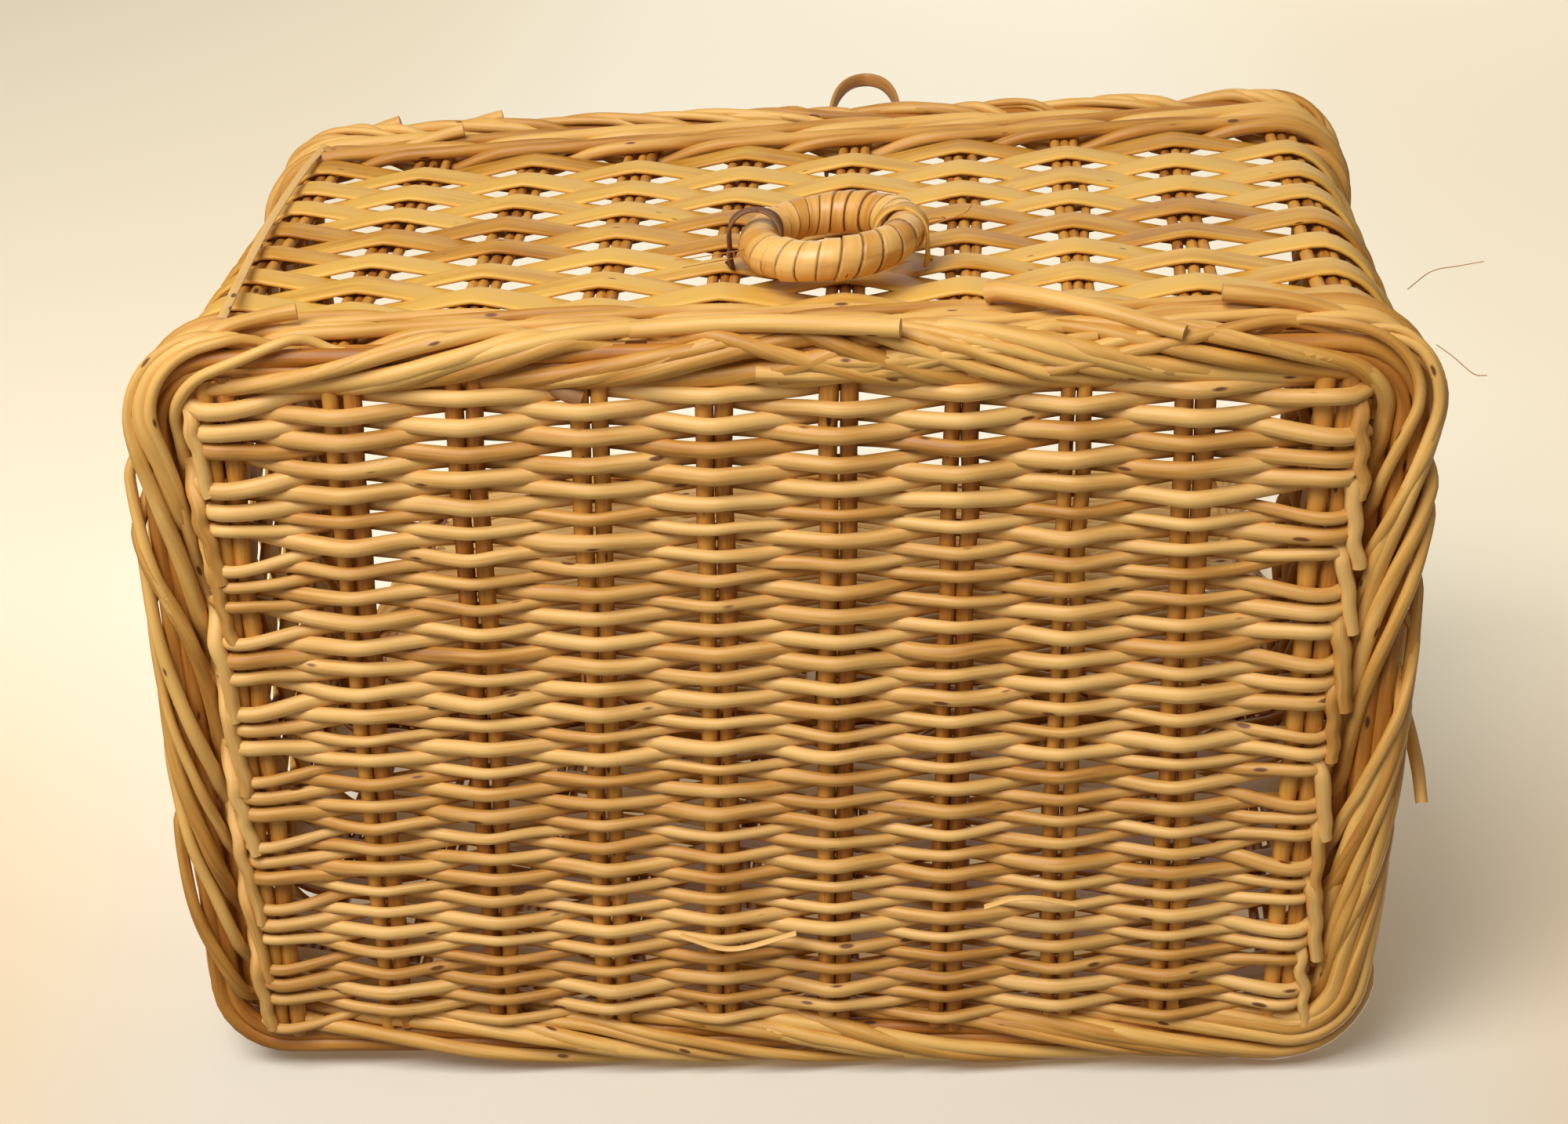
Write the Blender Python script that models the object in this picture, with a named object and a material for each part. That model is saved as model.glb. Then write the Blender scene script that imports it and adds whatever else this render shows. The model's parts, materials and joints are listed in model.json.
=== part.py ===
"""Lidded rattan basket standing on its base: metres, +Z up, front wall towards -Y.

The foot border goes round the edge of the base. Bundles of three stakes rise from it, through the upsett
wale, the flat strip weave of the walls and the rim wale, and end fused into the rim border. The lid has its
own sticks, weave and border roll, and the back of that roll turns in three cane loops. It is modelled closed
and then folded back about that roll. A cane loop on the front rim comes up through a slot in the closed lid,
and a wrapped ring is held to the front wall by two strips of bark.
"""

import math

import bmesh
import bpy
from mathutils import Matrix, Vector

MM = 0.001

# Whole basket
BASKET_WIDTH = 380 * MM
BASKET_DEPTH = 252 * MM
BODY_HEIGHT = 240 * MM
CORNER_RADIUS = 30 * MM
FIT_GAP = 0.3 * MM
CORNER_STEPS = 6

# Foot border and base
FOOT_WIDTH = 19 * MM
FOOT_HEIGHT = 18 * MM
FOOT_EDGE_RADIUS = 5 * MM
BASE_WEAVE_THICKNESS = 11 * MM
STICK_DIAMETER = 6 * MM
STICK_EDGE_INSET = 10.5 * MM
STICK_PAIR_COUNT = 10
STICK_END_INSET = 3 * MM

# Walls
WALL_INSET = 3 * MM
WALL_THICKNESS = 10 * MM
WALE_INSET = 1 * MM
WALE_THICKNESS = 14 * MM
UPSETT_HEIGHT = 14 * MM
RIM_WALE_HEIGHT = 24 * MM
STAKE_COUNT = 32
STAKE_BUNDLE_WIDTH = 11 * MM
STAKE_DIAMETER = 4 * MM

# Where the flat strips of the walls run behind the stakes, row by row
STRIP_ROW_COUNT = 14
STRIP_RECESS_WIDTH = 16 * MM
STRIP_RECESS_HEIGHT = 8 * MM
STRIP_RECESS_DEPTH = 3.5 * MM

# Rolls of the rim border and the lid border
ROLL_DIAMETER = 17 * MM
ROLL_SIDES = 12

# Lid, and how far it is folded back from closed
LID_WEAVE_THICKNESS = 10 * MM
LID_STICK_DIAMETER = 5 * MM
LID_STICK_EDGE_INSET = 28.7 * MM
LID_STICK_PAIR_COUNT = 7
LID_OPEN_ANGLE = math.radians(94)
LID_OPENING_ROWS = 12
LID_OPENING_WIDTH = 28 * MM
LID_OPENING_DEPTH = 5 * MM
LID_OPENING_MARGIN = 17 * MM

# Hinge loops of flat cane
HINGE_COUNT = 3
HINGE_STAKE_STEPS = 3
LOOP_WIDTH = 8 * MM
LOOP_THICKNESS = 2 * MM
LOOP_ARC_STEPS = 8
LOOP_SWING_GAP = 0.5 * MM

# Wrapped ring and its staples on the front wall
RING_OUTER_DIAMETER = 57 * MM
RING_TUBE_DIAMETER = 12 * MM
RING_WRAP_HEIGHT = 0.6 * MM
RING_WRAP_TURNS = 24
RING_STEPS = 96
RING_TUBE_SIDES = 10
RING_X = 15 * MM
RING_HEIGHT_ON_WALL = 68 * MM
RING_TILT_ROOM = 2.5 * MM
STAPLE_WIDTH = 5 * MM
STAPLE_THICKNESS = 1.6 * MM
STAPLE_TUBE_GAP = 0.9 * MM
STAPLE_SEAT_DEPTH = 1.5 * MM
STAPLE_ARC_STEPS = 8

# Peg loop of flat cane on the front rim, and its slot in the lid
PEG_LOOP_WIDTH = 27 * MM
PEG_LOOP_RISE = 40 * MM
PEG_LOOP_TAIL = 32 * MM
PEG_STRIP_WIDTH = 5.5 * MM
PEG_STRIP_THICKNESS = 2 * MM
PEG_LOOP_ARC_STEPS = 12
PEG_LOOP_LEAN = math.radians(4)
PEG_SLOT_DEPTH = 11 * MM
PEG_SLOT_SIDE_GAP = 1.5 * MM

# How far a cutter runs past what it cuts
CUT_OVERRUN = 2 * MM

# Half sizes of the outline that the borders share, and the heights that follow from the stack
HALF_WIDTH = BASKET_WIDTH / 2
HALF_DEPTH = BASKET_DEPTH / 2
ROLL_RADIUS = ROLL_DIAMETER / 2
RIM_ROLL_Z = BODY_HEIGHT - ROLL_RADIUS
LID_ROLL_Z = BODY_HEIGHT + FIT_GAP + ROLL_RADIUS
UPSETT_LOW = FOOT_HEIGHT + FIT_GAP
UPSETT_HIGH = UPSETT_LOW + UPSETT_HEIGHT
RIM_WALE_HIGH = BODY_HEIGHT - ROLL_DIAMETER - FIT_GAP
RIM_WALE_LOW = RIM_WALE_HIGH - RIM_WALE_HEIGHT
WALL_LOW = UPSETT_HIGH + FIT_GAP
WALL_HIGH = RIM_WALE_LOW - FIT_GAP
BACK_ROLL_Y = HALF_DEPTH - ROLL_RADIUS
STICK_SPREAD = 2 * (HALF_WIDTH - FOOT_WIDTH - FIT_GAP - STICK_EDGE_INSET)
STICK_PITCH = STICK_SPREAD / (STICK_PAIR_COUNT - 1)
LID_STICK_SPREAD = 2 * (HALF_WIDTH - ROLL_DIAMETER - FIT_GAP - LID_STICK_EDGE_INSET)
LID_STICK_PITCH = LID_STICK_SPREAD / (LID_STICK_PAIR_COUNT - 1)
STRIP_ROW_PITCH = (WALL_HIGH - WALL_LOW) / STRIP_ROW_COUNT
PEG_LOOP_X = LID_STICK_PITCH / 2


def clear_scene():
    """Removes whatever the file opened with."""
    for old in list(bpy.data.objects):
        bpy.data.objects.remove(old)


def willow(name, colour, roughness):
    """A dry willow or cane finish."""
    finish = bpy.data.materials.new(name)
    finish.use_nodes = True
    shader = finish.node_tree.nodes["Principled BSDF"]
    shader.inputs["Base Color"].default_value = (*colour, 1.0)
    shader.inputs["Roughness"].default_value = roughness
    shader.inputs["Metallic"].default_value = 0.0
    return finish


def named_object(name, mesh, finish, smooth_angle=math.radians(40)):
    """Links a finished mesh as a node of the basket."""
    mesh.materials.append(finish)
    mesh.shade_smooth()
    mesh.set_sharp_from_angle(angle=smooth_angle)
    node = bpy.data.objects.new(name, mesh)
    bpy.context.scene.collection.objects.link(node)
    return node


def mesh_of(name, shape):
    """Turns a bmesh into a mesh with its faces pointing out."""
    bmesh.ops.recalc_face_normals(shape, faces=shape.faces)
    mesh = bpy.data.meshes.new(name)
    shape.to_mesh(mesh)
    shape.free()
    return mesh


def rounded_outline(half_x, half_y, radius, steps=CORNER_STEPS):
    """The points of a rounded rectangle, anticlockwise from the right end of its front side."""
    corners = ((1, -1, -90), (1, 1, 0), (-1, 1, 90), (-1, -1, 180))
    points = []
    for side_x, side_y, start in corners:
        for step in range(steps + 1):
            angle = math.radians(start + 90 * step / steps)
            points.append(
                Vector(
                    (
                        side_x * (half_x - radius) + radius * math.cos(angle),
                        side_y * (half_y - radius) + radius * math.sin(angle),
                    )
                )
            )
    return points


def border_outline(inset):
    """The borders' outline drawn in by an inset, with its corners concentric."""
    return rounded_outline(HALF_WIDTH - inset, HALF_DEPTH - inset, CORNER_RADIUS - inset)


def outline_loop(shape, points):
    """Adds a closed chain of edges through 2D points at height 0."""
    corners = [shape.verts.new((x, y, 0)) for x, y in points]
    return [shape.edges.new((a, b)) for a, b in zip(corners, corners[1:] + corners[:1])]


def prism(name, outer, holes, low, high):
    """A plate between two heights, with an outer outline and through holes."""
    shape = bmesh.new()
    edges = outline_loop(shape, outer)
    for hole in holes:
        edges += outline_loop(shape, hole)
    bmesh.ops.triangle_fill(shape, edges=edges, use_beauty=True)
    bmesh.ops.translate(shape, verts=shape.verts, vec=(0, 0, low))
    raised = bmesh.ops.extrude_face_region(shape, geom=list(shape.faces))
    top = [part for part in raised["geom"] if isinstance(part, bmesh.types.BMVert)]
    bmesh.ops.translate(shape, verts=top, vec=(0, 0, high - low))
    return mesh_of(name, shape)


def swept_ring(name, section):
    """A closed ring round the basket. The section is a list of (inset, height) points."""
    shape = bmesh.new()
    loops = [
        [shape.verts.new((x, y, height)) for x, y in border_outline(inset)]
        for inset, height in section
    ]
    for loop, following in zip(loops, loops[1:] + loops[:1]):
        count = len(loop)
        for i in range(count):
            j = (i + 1) % count
            shape.faces.new((loop[i], loop[j], following[j], following[i]))
    return mesh_of(name, shape)


def section_between(inset, width, low, high, edge_radius, steps=3):
    """A rounded rectangular section of a ring, as (inset, height) points."""
    middle_inset = inset + width / 2
    middle_height = (low + high) / 2
    outline = rounded_outline(width / 2, (high - low) / 2, edge_radius, steps)
    return [(middle_inset + x, middle_height + y) for x, y in outline]


def roll_section(height):
    """A round roll whose outer side touches the borders' outline, as (inset, height) points."""
    turns = [2 * math.pi * side / ROLL_SIDES for side in range(ROLL_SIDES)]
    return [
        (ROLL_RADIUS + ROLL_RADIUS * math.cos(turn), height + ROLL_RADIUS * math.sin(turn))
        for turn in turns
    ]


def stake_stations():
    """Where the stakes stand: (point, unit tangent), evenly spaced round the middle of the wall."""
    inset = WALL_INSET + WALL_THICKNESS / 2
    half_x = HALF_WIDTH - inset
    half_y = HALF_DEPTH - inset
    radius = CORNER_RADIUS - inset
    path = rounded_outline(half_x, half_y, radius, 24)
    start = Vector((0, -half_y))
    path = [start] + path + [start]
    lengths = [(b - a).length for a, b in zip(path, path[1:])]
    pitch = sum(lengths) / STAKE_COUNT
    stations = []
    for number in range(STAKE_COUNT):
        left = (number + 0.5) * pitch
        for a, b, length in zip(path, path[1:], lengths):
            if left <= length:
                break
            left -= length
        tangent = (b - a).normalized()
        stations.append((a + tangent * left, tangent))
    return stations, pitch


def bundle_outline(point, tangent, grow):
    """The flat oval of three stakes side by side, grown all round for a channel."""
    half = STAKE_DIAMETER / 2 + grow
    reach = (STAKE_BUNDLE_WIDTH - STAKE_DIAMETER) / 2
    outward = Vector((tangent.y, -tangent.x))
    points = []
    for end in (1, -1):
        for step in range(4):
            angle = math.radians(-90 + 60 * step) if end > 0 else math.radians(90 + 60 * step)
            along = end * reach + half * math.cos(angle)
            points.append(point + tangent * along + outward * (half * math.sin(angle)))
    return points


def cut(node, cutter):
    """Takes a hidden cutter away from a node."""
    cutter.hide_render = True
    cutter.display_type = "WIRE"
    modifier = node.modifiers.new("cut_" + cutter.name, "BOOLEAN")
    modifier.operation = "DIFFERENCE"
    modifier.object = cutter


def box_mesh(name, boxes):
    """One mesh of separate boxes, each given by its low and high corner."""
    shape = bmesh.new()
    for low, high in boxes:
        middle = (Vector(low) + Vector(high)) / 2
        size = Vector(high) - Vector(low)
        place = Matrix.Translation(middle) @ Matrix.Diagonal((*size, 1))
        bmesh.ops.create_cube(shape, size=1, matrix=place)
    return mesh_of(name, shape)


def cutter_object(name, mesh):
    """Links a cutter mesh."""
    cutter = bpy.data.objects.new(name, mesh)
    bpy.context.scene.collection.objects.link(cutter)
    return cutter


def pair_outline(diameter, grow):
    """Two round sticks lying side by side, as one waisted outline across x and z."""
    radius = diameter / 2 + grow
    centre = diameter / 2
    points = []
    for side, start in ((1, -120), (-1, 60)):
        for step in range(7):
            angle = math.radians(start + 40 * step)
            points.append((side * centre + radius * math.cos(angle), radius * math.sin(angle)))
    return points


def stick_prism(name, outline, middle_x, middle_z, low_y, high_y):
    """An outline across x and z, carried from front to back."""
    mesh = prism(name, outline, [], low_y, high_y)
    turn = Matrix(((1, 0, 0, middle_x), (0, 0, 1, 0), (0, 1, 0, middle_z), (0, 0, 0, 1)))
    mesh.transform(turn)
    mesh.flip_normals()
    return mesh


def stick_places(count, pitch):
    """The x of each stick pair, even about the middle."""
    return [(number - (count - 1) / 2) * pitch for number in range(count)]


def woven_panel(prefix, panel_shape, sticks, finishes):
    """A woven plate inside a border, bored for its stick pairs, and the pairs themselves.

    panel_shape is (inset, low, high, back notches, front notches); sticks is (diameter, count, pitch).
    """
    inset, low, high, back_notches, front_notches = panel_shape
    diameter, count, pitch = sticks
    weave_finish, stick_finish = finishes
    reach = HALF_DEPTH - inset
    outline = notched(border_outline(inset), back_notches, front_notches, reach)
    name = prefix + "_weave"
    panel = named_object(name, prism(name, outline, [], low, high), weave_finish)
    middle = (low + high) / 2
    bores = bmesh.new()
    for x in stick_places(count, pitch):
        bore = stick_prism(
            prefix + "_bore",
            pair_outline(diameter, FIT_GAP),
            x,
            middle,
            -reach - CUT_OVERRUN,
            reach + CUT_OVERRUN,
        )
        bores.from_mesh(bore)
        bpy.data.meshes.remove(bore)
    cut(panel, cutter_object(prefix + "_bores", mesh_of(prefix + "_bores", bores)))
    for number, x in enumerate(stick_places(count, pitch), start=1):
        name = f"{prefix}_stick_pair_{number:02d}"
        end = reach - corner_loss(abs(x) + diameter, inset) - STICK_END_INSET
        mesh = stick_prism(name, pair_outline(diameter, 0), x, middle, -end, end)
        named_object(name, mesh, stick_finish)
    return panel


def corner_loss(x, inset):
    """How much shorter the panel is, front or back, at this x because its corners are round."""
    radius = CORNER_RADIUS - inset
    past = x - (HALF_WIDTH - inset - radius)
    if past <= 0:
        return 0
    return radius - math.sqrt(max(radius**2 - min(past, radius) ** 2, 0))


def notched(outline, back_notches, front_notches, reach):
    """The outline with square bites out of its straight back and front sides.

    Each notch is (middle x, half width, depth), and reach is how far both sides lie from the middle.
    """
    split = 2 * (CORNER_STEPS + 1)
    back_bites = []
    for middle, half, depth in sorted(back_notches, reverse=True):
        back_bites += bite(middle, half, reach, reach - depth)
    front_bites = []
    for middle, half, depth in sorted(front_notches):
        front_bites += bite(middle, -half, -reach, depth - reach)
    return outline[:split] + back_bites + outline[split:] + front_bites


def bite(middle, half, side, bottom):
    """The four points of one square notch, in the order in which the outline meets them."""
    corners = ((half, side), (half, bottom), (-half, bottom), (-half, side))
    return [Vector((middle + x, y)) for x, y in corners]


def loop_band(half_width, half_height, thickness, steps):
    """Outer and inner outline of a closed band with round ends top and bottom."""
    outlines = []
    for grow in (thickness, 0):
        radius = half_width + grow
        straight = half_height - half_width
        points = []
        for end, start in ((1, 0), (-1, 180)):
            for step in range(steps + 1):
                angle = math.radians(start + 180 * step / steps)
                points.append(
                    Vector((radius * math.cos(angle), end * straight + radius * math.sin(angle)))
                )
        outlines.append(points)
    return outlines


def arch_strip(half_span, leg, thickness, steps):
    """A bent strip: two straight legs and a half round, open at the wall, as one outline in the plane."""
    outer = [(half_span + thickness, leg)]
    inner = [(half_span, leg)]
    for step in range(steps + 1):
        angle = math.pi * step / steps
        outer.append(
            ((half_span + thickness) * math.cos(angle), -(half_span + thickness) * math.sin(angle))
        )
        inner.append((half_span * math.cos(angle), -half_span * math.sin(angle)))
    outer.append((-half_span - thickness, leg))
    inner.append((-half_span, leg))
    return [Vector(p) for p in outer] + [Vector(p) for p in reversed(inner)]


def hinge_places(pitch):
    """The x of each hinge loop, midway between stakes."""
    step = HINGE_STAKE_STEPS * pitch
    return [(number - (HINGE_COUNT - 1) / 2) * step for number in range(HINGE_COUNT)]


def build_foot(finish):
    """The border under the edge of the base, flat underneath."""
    section = section_between(0, FOOT_WIDTH, 0, FOOT_HEIGHT, FOOT_EDGE_RADIUS)
    named_object("foot_border", swept_ring("foot_border", section), finish)


def channelled_ring(name, inset, thickness, low, high, stations, finish):
    """A ring of weave round the stakes, with a channel for each bundle."""
    channels = [bundle_outline(point, tangent, FIT_GAP) for point, tangent in stations]
    inner = border_outline(inset + thickness)
    mesh = prism(name, border_outline(inset), [inner] + channels, low, high)
    return named_object(name, mesh, finish)


def strip_recesses(stations):
    """Boxes into the outer face of the walls, where a strip passes behind a stake bundle.

    Rows and bundles take turns, as the squares of a chessboard do.
    """
    shape = bmesh.new()
    reach = WALL_THICKNESS / 2 + CUT_OVERRUN
    depth = STRIP_RECESS_DEPTH + CUT_OVERRUN
    size = Matrix.Diagonal((STRIP_RECESS_WIDTH, depth, STRIP_RECESS_HEIGHT, 1))
    for number, (point, tangent) in enumerate(stations):
        outward = Vector((tangent.y, -tangent.x))
        middle = point + outward * (reach - depth / 2)
        for row in range(STRIP_ROW_COUNT):
            if (number + row) % 2:
                height = WALL_LOW + STRIP_ROW_PITCH * (row + 0.5)
                turn = Matrix.Rotation(math.atan2(tangent.y, tangent.x), 4, "Z")
                place = Matrix.Translation((middle.x, middle.y, height)) @ turn @ size
                bmesh.ops.create_cube(shape, size=1, matrix=place)
    return mesh_of("strip_recesses", shape)


def build_stakes(stations, finish):
    """The rim border roll with every stake bundle fused into its underside."""
    comb = named_object(
        "stakes_and_rim_border",
        swept_ring("stakes_and_rim_border", roll_section(RIM_ROLL_Z)),
        finish,
    )
    bundles = bmesh.new()
    for point, tangent in stations:
        bundle = prism("bundle", bundle_outline(point, tangent, 0), [], UPSETT_LOW, RIM_ROLL_Z)
        bundles.from_mesh(bundle)
        bpy.data.meshes.remove(bundle)
    joined = cutter_object("stake_bundles", mesh_of("stake_bundles", bundles))
    joined.hide_render = True
    joined.display_type = "WIRE"
    modifier = comb.modifiers.new("join_stakes", "BOOLEAN")
    modifier.operation = "UNION"
    modifier.object = joined


def build_hinges(places, rim_wale, finish):
    """Cane loops that hold the lid's back roll down on the rim border, and their seats in the rim wale."""
    low = RIM_ROLL_Z
    high = LID_ROLL_Z
    half_width = ROLL_RADIUS + FIT_GAP
    outer, inner = loop_band(
        half_width, (high - low) / 2 + half_width, LOOP_THICKNESS, LOOP_ARC_STEPS
    )
    seats = []
    wale_inner_y = HALF_DEPTH - WALE_INSET - WALE_THICKNESS
    seat_low = RIM_WALE_HIGH - LOOP_THICKNESS - FIT_GAP
    half = LOOP_WIDTH / 2 + FIT_GAP
    for side, x in zip(("left", "middle", "right"), places):
        name = f"hinge_loop_{side}"
        mesh = prism(name, outer, [inner], -LOOP_WIDTH / 2, LOOP_WIDTH / 2)
        turn = Matrix(
            ((0, 0, 1, x), (1, 0, 0, BACK_ROLL_Y), (0, 1, 0, (low + high) / 2), (0, 0, 0, 1))
        )
        mesh.transform(turn)
        named_object(name, mesh, finish)
        near_corner = (x - half, wale_inner_y - CUT_OVERRUN, seat_low)
        far_corner = (x + half, HALF_DEPTH + CUT_OVERRUN, RIM_WALE_HIGH + CUT_OVERRUN)
        seats.append((near_corner, far_corner))
    cut(rim_wale, cutter_object("hinge_seats", box_mesh("hinge_seats", seats)))


def build_ring(middle_x, wall_weave, ring_finish, staple_finish):
    """The wrapped ring that lies along the front wall, and the two staples that it tilts in."""
    tube = RING_TUBE_DIAMETER / 2
    crown = tube + RING_WRAP_HEIGHT
    circle = RING_OUTER_DIAMETER / 2 - crown
    wall_face = -HALF_DEPTH + WALL_INSET
    centre = Vector((middle_x, wall_face - crown - RING_TILT_ROOM, RING_HEIGHT_ON_WALL))
    shape = bmesh.new()
    rows = []
    for step in range(RING_STEPS):
        turn = 2 * math.pi * step / RING_STEPS
        row = []
        for side in range(RING_TUBE_SIDES):
            around = 2 * math.pi * side / RING_TUBE_SIDES
            wrap = (RING_WRAP_TURNS * turn + around) / (2 * math.pi) % 1
            radius = tube + RING_WRAP_HEIGHT * math.sin(math.pi * wrap)
            out = circle + radius * math.cos(around)
            row.append(
                shape.verts.new(
                    (out * math.cos(turn), radius * math.sin(around), out * math.sin(turn))
                )
            )
        rows.append(row)
    for row, following in zip(rows, rows[1:] + rows[:1]):
        for side in range(RING_TUBE_SIDES):
            other = (side + 1) % RING_TUBE_SIDES
            shape.faces.new((row[side], row[other], following[other], following[side]))
    ring = named_object("pull_ring", mesh_of("pull_ring", shape), ring_finish)
    ring.location = centre

    half_span = crown + STAPLE_TUBE_GAP
    leg = wall_face - centre.y + STAPLE_SEAT_DEPTH
    outline = arch_strip(half_span, leg, STAPLE_THICKNESS, STAPLE_ARC_STEPS)
    seats = []
    for side, x in (("left", middle_x - circle), ("right", middle_x + circle)):
        name = f"ring_staple_{side}"
        mesh = prism(name, outline, [], -STAPLE_WIDTH / 2, STAPLE_WIDTH / 2)
        staple = named_object(name, mesh, staple_finish)
        staple.location = (x, centre.y, centre.z)
        for direction in (1, -1):
            near = x + direction * (half_span - FIT_GAP)
            far = x + direction * (half_span + STAPLE_THICKNESS + FIT_GAP)
            half = STAPLE_WIDTH / 2 + FIT_GAP
            seats.append(
                (
                    (min(near, far), wall_face - CUT_OVERRUN, centre.z - half),
                    (max(near, far), wall_face + STAPLE_SEAT_DEPTH + FIT_GAP, centre.z + half),
                )
            )
    cut(wall_weave, cutter_object("staple_seats", box_mesh("staple_seats", seats)))


def build_lid(places, weave_finish, stick_finish):
    """The closed lid: border roll, and the bored weave with its stick pairs."""
    roll = swept_ring("lid_border", roll_section(LID_ROLL_Z))
    named_object("lid_border", roll, weave_finish)
    bite_depth = LOOP_THICKNESS + LOOP_SWING_GAP
    hinge_notches = [(x, LOOP_WIDTH / 2 + LOOP_SWING_GAP, bite_depth) for x in places]
    slot = (PEG_LOOP_X, PEG_LOOP_WIDTH / 2 + PEG_SLOT_SIDE_GAP, PEG_SLOT_DEPTH)
    low = LID_ROLL_Z - LID_WEAVE_THICKNESS / 2
    panel = woven_panel(
        "lid",
        (ROLL_DIAMETER + FIT_GAP, low, low + LID_WEAVE_THICKNESS, hinge_notches, [slot]),
        (LID_STICK_DIAMETER, LID_STICK_PAIR_COUNT, LID_STICK_PITCH),
        (weave_finish, stick_finish),
    )
    cut(panel, cutter_object("lid_openings", lid_openings(low)))


def lid_openings(low):
    """Slots through the open weave of the lid, a column of them between each two stick pairs."""
    reach = HALF_DEPTH - ROLL_DIAMETER - FIT_GAP - LID_OPENING_MARGIN
    half = Vector((LID_OPENING_WIDTH, LID_OPENING_DEPTH, LID_WEAVE_THICKNESS + 2 * CUT_OVERRUN)) / 2
    middle_z = low + LID_WEAVE_THICKNESS / 2
    boxes = []
    for x in stick_places(LID_STICK_PAIR_COUNT - 1, LID_STICK_PITCH):
        for y in stick_places(LID_OPENING_ROWS, 2 * reach / (LID_OPENING_ROWS - 1)):
            middle = Vector((x, y, middle_z))
            boxes.append((middle - half, middle + half))
    return box_mesh("lid_openings", boxes)


def build_peg_loop(finish):
    """The flat cane loop that leans against the inner side of the front rim border."""
    half_span = PEG_LOOP_WIDTH / 2 - PEG_STRIP_THICKNESS
    crown_centre = PEG_LOOP_RISE - PEG_LOOP_WIDTH / 2
    outline = arch_strip(
        half_span, crown_centre + PEG_LOOP_TAIL, PEG_STRIP_THICKNESS, PEG_LOOP_ARC_STEPS
    )
    mesh = prism("peg_loop", outline, [], 0, PEG_STRIP_WIDTH)
    middle = BODY_HEIGHT - RIM_ROLL_Z + crown_centre
    mesh.transform(Matrix(((1, 0, 0, 0), (0, 0, 1, 0), (0, -1, 0, middle), (0, 0, 0, 1))))
    loop = named_object("peg_loop", mesh, finish)
    loop.location = (PEG_LOOP_X, -HALF_DEPTH + ROLL_DIAMETER + FIT_GAP, RIM_ROLL_Z)
    loop.rotation_euler.x = -PEG_LOOP_LEAN


def fold_lid_back():
    """Hangs every lid piece, with its cutters, on the hinge axis and turns it open."""
    hinge = bpy.data.objects.new("hinge_axis", None)
    bpy.context.scene.collection.objects.link(hinge)
    hinge.location = (0, BACK_ROLL_Y, LID_ROLL_Z)
    for piece in list(bpy.data.objects):
        if piece.name.startswith("lid_"):
            piece.parent = hinge
            piece.matrix_parent_inverse = Matrix.Translation(-hinge.location)
    hinge.rotation_euler.x = -LID_OPEN_ANGLE


def build():
    """The whole basket."""
    clear_scene()
    willow_rod = willow("willow_rod", (0.62, 0.42, 0.19), 0.55)
    dark_stick = willow("willow_stick", (0.45, 0.27, 0.12), 0.6)
    flat_strip = willow("flat_strip", (0.66, 0.40, 0.13), 0.5)
    cane = willow("cane", (0.68, 0.47, 0.22), 0.45)
    bark = willow("bark_strip", (0.36, 0.22, 0.11), 0.6)

    stations, pitch = stake_stations()
    places = hinge_places(pitch)
    build_foot(willow_rod)
    woven_panel(
        "base",
        (FOOT_WIDTH + FIT_GAP, 0, BASE_WEAVE_THICKNESS, [], []),
        (STICK_DIAMETER, STICK_PAIR_COUNT, STICK_PITCH),
        (willow_rod, dark_stick),
    )
    channelled_ring(
        "upsett_wale", WALE_INSET, WALE_THICKNESS, UPSETT_LOW, UPSETT_HIGH, stations, willow_rod
    )
    wall_weave = channelled_ring(
        "wall_weave", WALL_INSET, WALL_THICKNESS, WALL_LOW, WALL_HIGH, stations, flat_strip
    )
    cut(wall_weave, cutter_object("strip_recesses", strip_recesses(stations)))
    rim_wale = channelled_ring(
        "rim_wale", WALE_INSET, WALE_THICKNESS, RIM_WALE_LOW, RIM_WALE_HIGH, stations, willow_rod
    )
    build_stakes(stations, willow_rod)
    build_hinges(places, rim_wale, cane)
    build_ring(RING_X, wall_weave, cane, bark)
    build_peg_loop(cane)
    build_lid(places, willow_rod, dark_stick)
    fold_lid_back()


build()
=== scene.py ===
"""Finish of a lidded rattan basket: every rod, strip and tie of the weave, and a plain stage.

The basket stands upright in the frame, and the camera looks at its underside and its front wall, because the
photograph shows it lying on its back wall with the lid folded open behind it.
"""

import json
import math

import bpy
import numpy as np
from mathutils import Matrix, Vector


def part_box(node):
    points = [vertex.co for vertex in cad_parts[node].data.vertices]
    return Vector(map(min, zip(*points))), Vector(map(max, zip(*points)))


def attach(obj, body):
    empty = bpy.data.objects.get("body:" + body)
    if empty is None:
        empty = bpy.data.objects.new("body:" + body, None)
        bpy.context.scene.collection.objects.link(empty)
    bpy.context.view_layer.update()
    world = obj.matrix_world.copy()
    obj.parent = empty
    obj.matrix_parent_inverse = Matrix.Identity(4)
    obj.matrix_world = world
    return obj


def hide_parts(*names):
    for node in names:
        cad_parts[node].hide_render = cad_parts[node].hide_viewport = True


bl_info = {
    "name": "Lidded rattan basket",
    "version": (1, 0, 0),
    "blender": (4, 5, 0),
    "location": "3D View > Sidebar > Basket",
    "description": "Weaves a lidded willow and cane basket round its solid frame",
    "category": "Add Mesh",
}

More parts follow.
